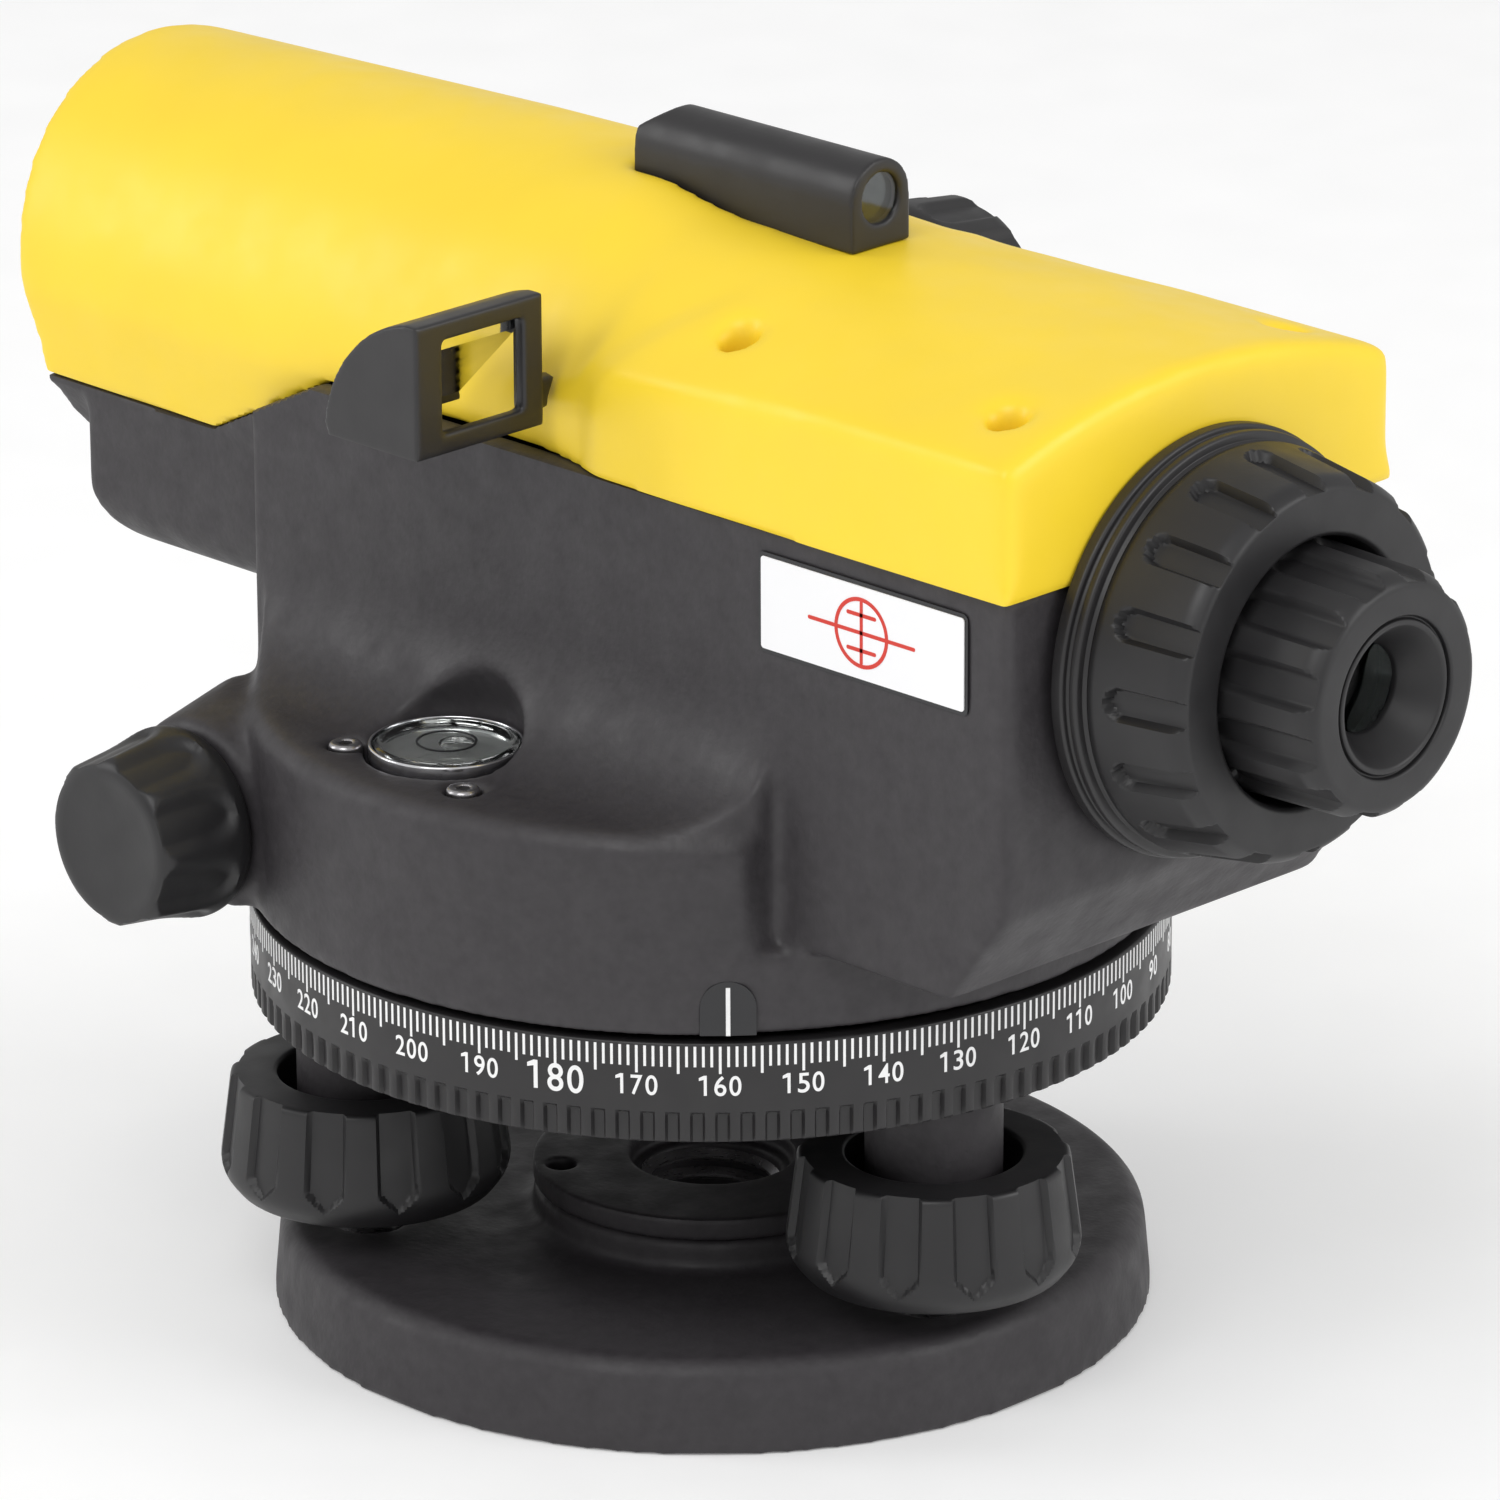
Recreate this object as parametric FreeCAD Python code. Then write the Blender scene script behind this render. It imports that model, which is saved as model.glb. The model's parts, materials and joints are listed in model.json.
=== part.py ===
"""Automatic level: a levelling instrument for surveying, as separate parts.

Millimetres, +Z up. The origin is the centre of the base plate's underside, on the
tripod screw's axis. +Y is the line of sight, from the eyepiece to the objective, and
the user stands behind the eyepiece, at -Y. Each part is written to its own STEP file.
"""
import FreeCAD
import Part
import math
import os

V = FreeCAD.Vector
X_DIR = V(1, 0, 0)
Y_DIR = V(0, 1, 0)
Z_DIR = V(0, 0, 1)

# Clearances
RUN_FIT = 0.05          # radial, shaft in its bearing
BODY_GAP = 0.4          # between parts that move past each other
SLACK = 0.3             # radial, ball in its socket

# Base plate and tripod thread (5/8 inch, 11 threads to the inch)
BASE_R = 50.8
BASE_H = 11.0
BASE_DRAFT = 1.2
BASE_DISH = 1.4
BASE_ROUND = 1.5
UNDERCUT_R = 47.0
UNDERCUT_H = 1.7
BOSS_R = 20.7
BOSS_TOP = 16.0
THREAD_R = 7.94
BUSH_R = 13.0
BUSH_FLANGE_H = 2.6
BUSH_MOUTH_R = 9.5
BUSH_MOUTH_H = 2.0
SPANNER_HOLE_R = 1.75
SPANNER_PCD_R = 17.7

# Foot screws
FOOT_PCD_R = 40.15
FOOT_ANGLES = {"a": 143.4, "b": -96.6, "c": 23.4}
BALL_R = 4.6
BALL_Z = 6.6
STEM_R = 2.6
STEM_TOP = 11.2
PIVOT_R = 1.6
PIVOT_LOOSE = 0.3
KNOB_Z = 14.9
KNOB_H = 14.1
KNOB_R = 16.8
KNOB_TOP_R = 15.3
KNOB_WELL_R = 10.0
KNOB_WELL_H = 8.4
KNOB_FLUTES = 12
SPINDLE_R = 3.5
SPINDLE_TOP = 40.5
FOOT_TRAVEL = 2.5

# Levelling head and vertical axis
SLEEVE_R = 7.8
HEAD_Z = 39.0
HEAD_H = 3.2
HEAD_R = 48.8
HUB_R = 22.0
HUB_BOTTOM = 33.2
HUB_TOP = 48.4
AXIS_R = 9.0
BEARING_WALL = 3.5
AXIS_NUT_R = 12.0
AXIS_NUT_H = 3.4
AXIS_FLANGE_R = 19.0
AXIS_FLANGE_H = 2.2

# Horizontal circle
CIRCLE_R = 52.7
CIRCLE_WALL = 2.3
CIRCLE_Z = 38.3
CIRCLE_H = 11.8
CIRCLE_WEB_Z = 45.2
CIRCLE_WEB_H = 2.0

# Housing: a drum over the circle, with a tall narrow tower across it
DRUM_R = 53.0
DRUM_FOOT_R = 52.4
DRUM_FOOT_H = 9.6
DRUM_TOP = 74.0
DRUM_REAR_Y = -40.0
HOUSING_Z = 50.7
CAST_WALL = 3.0
FLOOR_H = 3.3
SHELF_CHAMFER = 1.6
DRIVE_BOSS_R = 14.0
DRIVE_BOSS_X = 34.0
TOWER_W = 29.4
REAR_Y = -74.2
REAR_SLOPE_Y = -65.5
REAR_SLOPE_Z = 72.0
SHELF_FILLET = 13.0
PARTING_Z = 107.6
PARTING_GAP = 0.05
PARTING_STEP_Y = 34.0
FRONT_PARTING_Y = 57.0
FRONT_PARTING_Z = 96.4
BELLY_W = 23.2
BELLY_REAR_Y = 30.0
BELLY_FRONT_Y = 80.0
BELLY_Z = 77.0
BELLY_ROUND = 8.0
LIP_Y = 40.0

# Top cover: boxy behind, a round hood in front
COVER_W = TOWER_W + 0.9
COVER_REAR_Y = REAR_Y - 1.0
COVER_SHOULDER_Z = 122.6
COVER_REAR_TOP = 128.2
COVER_WALL = 2.2
HOOD_R = 25.5
HOOD_Z = 107.0
HOOD_FRONT_Y = 88.5
HOOD_RAKE = 8.5
RIDGE_Z = 134.6
CREST_Z = 133.0

# Cover screws
SCREW_X = 21.5
SCREW_YS = (-27.0, -67.0)
SCREW_HEAD_R = 2.1
SCREW_SHANK_R = 1.45
SCREW_SEAT_Z = PARTING_Z + 4.0
SCREW_L = 14.0
POST_R = 3.8

# Line of sight
OBJECTIVE_Z = 107.0
EYE_Z = 96.9
OBJECTIVE_R = 18.0
OBJECTIVE_REAR_Y = 62.0
OBJECTIVE_FRONT_Y = 80.0
FOCUS_TUBE_R = 13.6
FOCUS_TUBE_WALL = 1.6
FOCUS_CELL_R = FOCUS_TUBE_R - FOCUS_TUBE_WALL - RUN_FIT
FOCUS_CELL_Y = 24.0
FOCUS_CELL_H = 12.0

# Focusing knob and its rack and pinion
FOCUS_Y = 4.0
FOCUS_Z = 107.5
FOCUS_BOSS_R = 13.0
FOCUS_BOSS_X = 33.0
FOCUS_KNOB_R = 14.3
FOCUS_KNOB_X = 46.5
FOCUS_SHAFT_R = 2.5
FOCUS_BUSH_R = 4.5
FOCUS_FLUTES = 12
GEAR_MODULE = 0.5
PINION_TEETH = 12
RACK_TEETH = 14
RACK_X = FOCUS_TUBE_R + 0.6
RACK_W = 2.6
RACK_BACK = 1.6

# Worm drive
DRIVE_Y = 35.5
DRIVE_Z = 60.5
DRIVE_HUB_X = 47.3
DRIVE_KNOB_L = 12.6
DRIVE_KNOB_R = 11.2
DRIVE_KNOB_END_R = 9.9
DRIVE_SHAFT_R = 3.0
DRIVE_BUSH_R = 5.2
WORM_R = 4.6
WORM_L = 16.0
WHEEL_H = 5.0
WHEEL_BORE_R = 12.0

# Circular vial
VIAL_X = -37.3
VIAL_Y = 4.0
VIAL_R = 8.75
VIAL_RISE = 1.0
VIAL_DEPTH = 7.0
VIAL_GLASS_R = VIAL_R - 1.25
VIAL_BUBBLE_R = 2.6
NICHE_R = VIAL_R + 0.6
NICHE_STRAIGHT_H = 2.5
NICHE_TAPER_H = 9.0
NICHE_TOP_R = 5.0
VIAL_SCREW_R = 1.95
VIAL_SCREW_DEPTH = 6.0
VIAL_SCREW_ANGLES = (125.8, -125.5)
VIAL_SCREW_GAPS = (0.76, 2.56)

# Mirror over the vial
MIRROR_X = -49.0
MIRROR_IN_X = -29.9
MIRROR_Y = -4.6
MIRROR_Z = 112.0
MIRROR_TOP = 127.2
MIRROR_DEPTH = 15.0
MIRROR_WALL = 1.7
MIRROR_BAR = 2.3
MIRROR_TAB = 4.0
MIRROR_TAB_TOP = 117.0

# Open sight on the cover
SIGHT_W = 4.5
SIGHT_REAR_Y = -27.1
SIGHT_FRONT_Y = 7.2
SIGHT_TOP = 140.7
SIGHT_BORE_R = 2.9

# Eyepiece end
COLLAR_R = 24.0
COLLAR_H = 3.8
RING_R = 22.8
RING_END_R = 20.3
RING_END_Y = -91.4
RING_HOLE_R = 14.9
EYE_KNOB_R = 14.2
EYE_KNOB_END_R = 13.4
EYE_KNOB_START_Y = -84.0
EYE_END_Y = -102.9
EYE_BARREL_R = 9.4
EYE_BARREL_BORE_R = 7.6
EYE_HOLE_R = 4.9
EYE_TUBE_R = 12.4
EYE_FLUTES = 12
RING_FLUTES = 16
EYE_TRAVEL = 2.0

# Index mark and type plate
INDEX_ANGLE = -132.8
INDEX_W = 6.3
INDEX_H = 6.4
PLATE_Y = (-68.6, -37.2)
PLATE_Z = (93.6, 105.2)
PLATE_T = 0.6

# Compensator
COMP_Y = -32.0
COMP_PIVOT_Z = 113.0
COMP_W = 9.0

# Sizes for cutting tools that only have to reach past the part
FAR = 120.0
TOUCH = 0.01


def cylinder(radius, length, base, axis=Z_DIR):
    return Part.makeCylinder(radius, length, base, axis)


def cone(radius1, radius2, length, base, axis=Z_DIR):
    return Part.makeCone(radius1, radius2, length, base, axis)


def tube(outer, inner, length, base, axis=Z_DIR):
    return cylinder(outer, length, base, axis).cut(cylinder(inner, length, base, axis))


def block(x1, x2, y1, y2, z1, z2):
    return Part.makeBox(x2 - x1, y2 - y1, z2 - z1, V(x1, y1, z1))


def fuse(first, *others):
    return first.fuse(list(others)).removeSplitter()


def prism_x(profile, x1, x2):
    """A closed outline of (y, z) points, drawn out from x1 to x2."""
    points = [V(x1, y, z) for y, z in profile]
    face = Part.Face(Part.makePolygon(points + points[:1]))
    return face.extrude(V(x2 - x1, 0, 0))


def turned(profile):
    """A closed outline of (radius, z) points, turned about the vertical axis."""
    points = [V(r, 0, z) for r, z in profile]
    face = Part.Face(Part.makePolygon(points + points[:1]))
    return face.revolve(V(0, 0, 0), Z_DIR, 360)


def around(shape, count, centre=V(0, 0, 0), axis=Z_DIR):
    """The shape repeated evenly about an axis."""
    copies = []
    for i in range(count):
        copy = shape.copy()
        copy.rotate(centre, axis, 360.0 * i / count)
        copies.append(copy)
    return copies


def polar(radius, degrees, z=0.0):
    angle = math.radians(degrees)
    return V(radius * math.cos(angle), radius * math.sin(angle), z)


def mirrored(shape):
    """The shape on the other side of the line of sight."""
    return shape.mirror(V(0, 0, 0), X_DIR)


# Base

def base_plate():
    rim_top = BASE_R - BASE_DRAFT
    plate = turned([(0, UNDERCUT_H), (UNDERCUT_R, UNDERCUT_H), (UNDERCUT_R, 0),
                    (BASE_R, 0), (rim_top + 0.3, BASE_H - BASE_ROUND),
                    (rim_top - BASE_ROUND, BASE_H), (BOSS_R, BASE_H - BASE_DISH),
                    (BOSS_R, BOSS_TOP - BUSH_FLANGE_H), (0, BOSS_TOP - BUSH_FLANGE_H)])
    plate = plate.cut(cylinder(BUSH_R, BOSS_TOP, V(0, 0, 0)))
    for angle in FOOT_ANGLES.values():
        plate = plate.cut(ball_socket(angle))
    for screw in spring_plate_screw_places():
        plate = plate.cut(cylinder(1.2, 6.0, screw))
    return plate


def ball_socket(angle):
    """The round seat of a foot screw's ball, open below and with a neck above."""
    centre = polar(FOOT_PCD_R, angle, BALL_Z)
    seat = Part.makeSphere(BALL_R + SLACK, centre)
    entry = cylinder(BALL_R + SLACK, BALL_Z, centre - V(0, 0, BALL_Z))
    neck = cylinder(STEM_R + 1.6, BASE_H, centre)
    return fuse(seat, entry, neck)


def tripod_thread_bush():
    flange_z = BOSS_TOP - BUSH_FLANGE_H
    body = cylinder(BUSH_R, flange_z, V(0, 0, 0))
    flange = cylinder(BOSS_R, BUSH_FLANGE_H, V(0, 0, flange_z))
    bush = fuse(body, flange)
    bush = bush.cut(cylinder(THREAD_R, BOSS_TOP, V(0, 0, 0)))
    mouth_z = BOSS_TOP - BUSH_MOUTH_H
    bush = bush.cut(cylinder(BUSH_MOUTH_R, BUSH_MOUTH_H, V(0, 0, mouth_z)))
    for angle in (146.0, -34.0):
        bush = bush.cut(cylinder(SPANNER_HOLE_R, BUSH_FLANGE_H, polar(SPANNER_PCD_R, angle, flange_z)))
    return bush


def spring_plate():
    """A thin star under the base plate that holds the three balls in their seats."""
    thickness = 1.0
    low = UNDERCUT_H - thickness
    inner_r = BUSH_R + 2.5
    star = tube(26.0, inner_r, thickness, V(0, 0, low))
    reach = FOOT_PCD_R + BALL_R - 1.0
    for angle in FOOT_ANGLES.values():
        arm = block(inner_r + 2.0, reach, -4.5, 4.5, low, UNDERCUT_H)
        arm = arm.fuse(cylinder(2.4, thickness, V(FOOT_PCD_R, 0, low)))
        arm.rotate(V(0, 0, 0), Z_DIR, angle)
        star = fuse(star, arm)
    star = star.cut(cylinder(inner_r, BASE_H, V(0, 0, 0)))
    for place in spring_plate_screw_places():
        star = star.cut(cylinder(1.2, BASE_H, place))
    return star


def spring_plate_screw_places():
    return [polar(21.0, angle + 60.0) for angle in FOOT_ANGLES.values()]


def spring_plate_screws():
    screws = []
    head_z = 0.1
    for place in spring_plate_screw_places():
        head = cylinder(2.2, 0.6, place + V(0, 0, head_z))
        screws.append(fuse(head, cylinder(1.2, 5.2, place + V(0, 0, head_z + 0.6))))
    return Part.makeCompound(screws)


# Foot screws

def foot_ball(key):
    centre = polar(FOOT_PCD_R, FOOT_ANGLES[key], BALL_Z)
    ball = Part.makeSphere(BALL_R, centre)
    stem = cylinder(STEM_R, STEM_TOP - BALL_Z, centre)
    loose = PIVOT_LOOSE if key == "b" else RUN_FIT
    bore = cylinder(PIVOT_R + loose, BASE_H, centre - V(0, 0, PIVOT_R))
    return fuse(ball, stem).cut(bore)


def foot_spindle(key):
    """The threaded spindle: it turns on its ball, and the head climbs along it."""
    foot = polar(FOOT_PCD_R, FOOT_ANGLES[key])
    shoulder_z = STEM_TOP + SLACK
    pivot_z = BALL_Z - PIVOT_R + SLACK
    pivot = cylinder(PIVOT_R, shoulder_z - pivot_z, foot + V(0, 0, pivot_z))
    shank = cylinder(SPINDLE_R, SPINDLE_TOP - shoulder_z, foot + V(0, 0, shoulder_z))
    return fuse(pivot, shank)


def foot_knob(key):
    foot = polar(FOOT_PCD_R, FOOT_ANGLES[key])
    low = foot + V(0, 0, KNOB_Z)
    lip = 0.9
    skirt = cone(KNOB_R - lip, KNOB_R, lip, low)
    knob = skirt.fuse(cone(KNOB_R, KNOB_TOP_R, KNOB_H - lip, low + V(0, 0, lip)))
    well_z = KNOB_Z + KNOB_H - KNOB_WELL_H
    knob = knob.cut(cylinder(KNOB_WELL_R, KNOB_WELL_H, foot + V(0, 0, well_z)))
    knob = knob.cut(cylinder(SPINDLE_R, KNOB_H, low))
    flute = cylinder(1.9, KNOB_H, low + V(KNOB_R + 0.9, 0, 3.6))
    return knob.cut(Part.makeCompound(around(flute, KNOB_FLUTES, foot)))


# Levelling head

def levelling_head():
    plate = cylinder(HEAD_R, HEAD_H, V(0, 0, HEAD_Z))
    hub = cylinder(HUB_R, HUB_TOP - HUB_BOTTOM, V(0, 0, HUB_BOTTOM))
    head = fuse(plate, hub)
    sleeve_z = KNOB_Z + KNOB_H - KNOB_WELL_H + FOOT_TRAVEL + BODY_GAP
    for angle in FOOT_ANGLES.values():
        foot = polar(FOOT_PCD_R, angle, sleeve_z)
        head = head.fuse(cylinder(SLEEVE_R, HEAD_Z - sleeve_z, foot))
        head = head.cut(cylinder(SPINDLE_R + RUN_FIT, HEAD_Z, foot))
    head = head.cut(cylinder(AXIS_R + BEARING_WALL, HUB_TOP, V(0, 0, 0)))
    return head.removeSplitter()


def axis_bearing():
    length = HUB_TOP - HUB_BOTTOM
    return tube(AXIS_R + BEARING_WALL, AXIS_R + RUN_FIT, length, V(0, 0, HUB_BOTTOM))


def axis_spindle():
    """The alidade's vertical shaft, with the flange that carries the housing."""
    nut_z = HUB_BOTTOM - BODY_GAP - AXIS_NUT_H
    tail = cylinder(AXIS_R - 3.0, HUB_BOTTOM - nut_z, V(0, 0, nut_z))
    shaft = cylinder(AXIS_R, HOUSING_Z - HUB_BOTTOM + FLOOR_H, V(0, 0, HUB_BOTTOM))
    flange_z = HOUSING_Z - AXIS_FLANGE_H + 0.4
    flange = cylinder(AXIS_FLANGE_R, AXIS_FLANGE_H, V(0, 0, flange_z))
    return fuse(tail, shaft, flange)


def axis_nut():
    nut_z = HUB_BOTTOM - BODY_GAP - AXIS_NUT_H
    nut = tube(AXIS_NUT_R, AXIS_R - 3.0, AXIS_NUT_H, V(0, 0, nut_z))
    notch = block(AXIS_NUT_R - 2.0, AXIS_NUT_R + 1.0, -1.5, 1.5, nut_z, nut_z + AXIS_NUT_H)
    return nut.cut(Part.makeCompound(around(notch, 4)))


# Horizontal circle

def circle_ring():
    rim = tube(CIRCLE_R, CIRCLE_R - CIRCLE_WALL, CIRCLE_H, V(0, 0, CIRCLE_Z))
    web = tube(CIRCLE_R - CIRCLE_WALL, HUB_R + RUN_FIT, CIRCLE_WEB_H, V(0, 0, CIRCLE_WEB_Z))
    return fuse(rim, web)


def circle_friction_washer():
    """A springy washer on the head that keeps the circle where it is set."""
    low = HEAD_Z + HEAD_H
    return tube(HUB_R + 6.0, HUB_R, CIRCLE_WEB_Z - low - SLACK, V(0, 0, low))


# Housing

def below_parting(lift=0.0):
    """Everything below the joint line between housing and cover."""
    rear_z = PARTING_Z + lift
    front_z = FRONT_PARTING_Z + lift
    outline = [(-FAR, 0), (-FAR, rear_z), (PARTING_STEP_Y, rear_z), (FRONT_PARTING_Y, front_z),
               (FAR, front_z), (FAR, 0)]
    return prism_x(outline, -FAR, FAR)


def tower(wall=0.0):
    """The tall narrow box across the drum; wall sets its sides in."""
    width = TOWER_W - wall
    low = HOUSING_Z + DRUM_FOOT_H + wall
    top = PARTING_Z + TOUCH
    rear = REAR_Y + wall
    outline = [(REAR_SLOPE_Y + wall, low), (rear, REAR_SLOPE_Z + wall / 2),
               (rear, top), (DRUM_R, top), (DRUM_R, low)]
    plan = cylinder(DRUM_R - wall, PARTING_Z, V(0, 0, low))
    plan = plan.fuse(block(-width, width, rear, 0, low, low + PARTING_Z))
    return prism_x(outline, -width, width).common(plan)


def drum():
    foot = cylinder(DRUM_FOOT_R, DRUM_FOOT_H, V(0, 0, HOUSING_Z))
    edge_z = DRUM_TOP - SHELF_CHAMFER
    skirt = cylinder(DRUM_R, edge_z - HOUSING_Z, V(0, 0, HOUSING_Z))
    skirt = skirt.fuse(cone(DRUM_R, DRUM_R - SHELF_CHAMFER, SHELF_CHAMFER, V(0, 0, edge_z)))
    skirt = skirt.common(block(-FAR, FAR, DRUM_REAR_Y, FAR, HOUSING_Z, DRUM_TOP))
    return fuse(foot, skirt)


def shelf_fillet():
    """The concave sweep from the tower's wall down to the shelf."""
    r = SHELF_FILLET
    corner = block(-TOWER_W - r, -TOWER_W, DRUM_REAR_Y, DRUM_R, DRUM_TOP - 1.0, DRUM_TOP + r)
    hollow = cylinder(r, 2 * DRUM_R, V(-TOWER_W - r, DRUM_REAR_Y, DRUM_TOP + r), Y_DIR)
    plan = cylinder(DRUM_R - SHELF_CHAMFER, 2 * r, V(0, 0, DRUM_TOP - 1.0))
    return corner.cut(hollow).common(plan)


def trough(wall=0.0):
    """The box under the objective, rounded below; wall sets its sides in."""
    width = BELLY_W - wall
    front = BELLY_FRONT_Y - wall
    low = BELLY_Z + wall
    body = block(-width, width, BELLY_REAR_Y, front, low, PARTING_Z)
    rounded = [edge for edge in body.Edges if abs(edge.BoundBox.ZMax - low) < TOUCH
               and edge.BoundBox.YMax > front - TOUCH]
    return body.makeFillet(BELLY_ROUND - wall, rounded)


def belly():
    """The trough with the hood's lower lip, filled up to the sloping joint."""
    lip = cylinder(HOOD_R, FAR - LIP_Y, V(0, LIP_Y, HOOD_Z), Y_DIR)
    lip = lip.common(block(-HOOD_R, HOOD_R, LIP_Y, FAR, 0, FRONT_PARTING_Z))
    sides = cover_form().common(block(-FAR, FAR, LIP_Y, FAR, 0, PARTING_Z))
    shape = trough().fuse([lip, sides])
    return shape.common(below_parting()).cut(raked_front())


def raked_front():
    """All that lies in front of the hood's slanted mouth."""
    slope = HOOD_RAKE / (2 * HOOD_R)
    top = 2 * FAR
    outline = [(HOOD_FRONT_Y - slope * HOOD_Z, 0), (HOOD_FRONT_Y + slope * (top - HOOD_Z), top),
               (top, top), (top, 0)]
    return prism_x(outline, -FAR, FAR)


def drive_boss():
    """The stubby cone that carries the worm shaft's left bush."""
    length = DRIVE_HUB_X - DRIVE_BOSS_X
    base = V(-DRIVE_BOSS_X, DRIVE_Y, DRIVE_Z)
    boss = cone(DRIVE_BOSS_R, DRIVE_BUSH_R + 6.0, length, base, -X_DIR)
    return boss.common(block(-FAR, 0, 0, FAR, HOUSING_Z, DRUM_TOP - 1.0))


def housing_outside():
    body = fuse(drum(), tower(), belly())
    for side in (shelf_fillet(), drive_boss()):
        body = body.fuse([side, mirrored(side)])
    boss = cylinder(FOCUS_BOSS_R, FOCUS_BOSS_X, V(0, FOCUS_Y, FOCUS_Z), X_DIR)
    return body.fuse(boss).common(below_parting())


def cover_screw_places(z):
    return [V(x, y, z) for x in (-SCREW_X, SCREW_X) for y in SCREW_YS]


def housing_inner_posts():
    """The worm wheel's journal, the cover screws' posts and the prism's seat."""
    low = HOUSING_Z + 0.5 * FLOOR_H
    inner_w = TOWER_W - 1.0
    posts = [cylinder(WHEEL_BORE_R, DRIVE_Z + WHEEL_H - low, V(0, 0, low)),
             block(-inner_w, inner_w, -21.0, -9.0, EYE_Z - 11.0, EYE_Z - 7.0)]
    outside = fuse(tower(), drum()).common(below_parting())
    niche_low = DRUM_TOP - VIAL_DEPTH - CAST_WALL
    niche_top = DRUM_TOP + NICHE_STRAIGHT_H + NICHE_TAPER_H
    niche_back = cylinder(NICHE_R + 2.0, niche_top - niche_low, V(VIAL_X, VIAL_Y, niche_low))
    posts.append(niche_back.common(outside))
    for place in cover_screw_places(low):
        post = cylinder(POST_R, PARTING_Z - low, place)
        posts.append(post.common(outside))
    return posts


def housing_hollow():
    """The room inside the housing, open upwards to the cover."""
    room_z = HOUSING_Z + FLOOR_H
    room = cylinder(DRUM_R - CAST_WALL, DRUM_TOP - CAST_WALL - room_z, V(0, 0, room_z))
    room = room.common(block(-FAR, FAR, DRUM_REAR_Y + CAST_WALL, FAR, 0, FAR))
    mouth = cylinder(HOOD_R - COVER_WALL, FAR, V(0, BELLY_REAR_Y, HOOD_Z), Y_DIR)
    return [room, tower(CAST_WALL), trough(CAST_WALL), mouth]


def housing_seats():
    """Bores and recesses in the housing's walls, for the parts fitted there."""
    flange_z = HOUSING_Z - AXIS_FLANGE_H
    seats = [cylinder(AXIS_R, FLOOR_H, V(0, 0, HOUSING_Z)),
             cylinder(AXIS_FLANGE_R, AXIS_FLANGE_H + 0.4, V(0, 0, flange_z)),
             cylinder(EYE_TUBE_R, 20.0, V(0, REAR_Y - 10.0, EYE_Z), Y_DIR),
             cylinder(DRIVE_BUSH_R, 2 * DRIVE_HUB_X, V(-DRIVE_HUB_X, DRIVE_Y, DRIVE_Z), X_DIR),
             cylinder(FOCUS_BUSH_R, FAR, V(FOCUS_TUBE_R, FOCUS_Y, FOCUS_Z), X_DIR),
             block(-TOWER_W - 1, -TOWER_W + PLATE_T, PLATE_Y[0], PLATE_Y[1], *PLATE_Z),
             vial_recess(), index_shape()]
    low = SCREW_SEAT_Z - SCREW_L
    for place in cover_screw_places(low):
        seats.append(cylinder(SCREW_SHANK_R, SCREW_L, place))
    return seats


def housing():
    body = housing_outside().cut(housing_hollow())
    body = fuse(body, *housing_inner_posts())
    return body.cut(housing_seats()).removeSplitter()


def vial_screw_places(z):
    """Where the vial's three-point seat is screwed down, measured from its rim."""
    centre = V(VIAL_X, VIAL_Y, z)
    places = []
    for angle, gap in zip(VIAL_SCREW_ANGLES, VIAL_SCREW_GAPS):
        places.append(centre + polar(VIAL_R + VIAL_SCREW_R + gap, angle))
    return places


def vial_recess():
    centre = V(VIAL_X, VIAL_Y, DRUM_TOP)
    taper_base = centre + V(0, 0, NICHE_STRAIGHT_H)
    niche = cylinder(NICHE_R, NICHE_STRAIGHT_H, centre)
    niche = niche.fuse(cone(NICHE_R, NICHE_TOP_R, NICHE_TAPER_H, taper_base))
    seat_z = VIAL_DEPTH + 0.5
    seat = cylinder(VIAL_R + 0.4, seat_z, centre - V(0, 0, seat_z))
    recess = niche.fuse(seat)
    for place in vial_screw_places(DRUM_TOP - VIAL_SCREW_DEPTH):
        recess = recess.fuse(cylinder(VIAL_SCREW_R + 0.2, 2 * VIAL_SCREW_DEPTH, place))
    return recess


# Top cover

def cover_section(y, foot_w, side_w, shoulder_z, top_z, low_z):
    left = V(-side_w, y, shoulder_z)
    right = V(side_w, y, shoulder_z)
    low_left = V(-foot_w, y, low_z)
    low_right = V(foot_w, y, low_z)
    roof = Part.Arc(left, V(0, y, top_z), right).toShape()
    edges = [Part.makeLine(low_left, left), roof, Part.makeLine(right, low_right),
             Part.makeLine(low_right, low_left)]
    return Part.Wire(edges)


def cover_form(wall=0.0):
    """The cover's outer form, or its inside when wall is its thickness."""
    low = FRONT_PARTING_Z - 1.0
    foot = math.sqrt(HOOD_R ** 2 - (HOOD_Z - low) ** 2) - wall
    rear_w = COVER_W - wall
    shoulder = COVER_SHOULDER_Z - wall
    hood_w = HOOD_R - wall
    front = HOOD_FRONT_Y + HOOD_RAKE
    sections = [
        cover_section(COVER_REAR_Y + wall, rear_w, rear_w, shoulder, COVER_REAR_TOP - wall, low),
        cover_section(-46.0, rear_w, rear_w, shoulder, COVER_REAR_TOP + 1.0 - wall, low),
        cover_section(-10.0, rear_w - 0.8, rear_w - 0.8, shoulder - 3, CREST_Z - 0.8 - wall, low),
        cover_section(2.0, foot + 2.2, hood_w + 2.0, HOOD_Z + 3, RIDGE_Z - wall, low),
        cover_section(34.0, foot + 1.2, hood_w + 1.0, HOOD_Z + 1, RIDGE_Z - 0.3 - wall, low),
        cover_section(front, foot, hood_w, HOOD_Z, HOOD_Z + hood_w, low)]
    return Part.makeLoft(sections, True, True)


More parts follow.
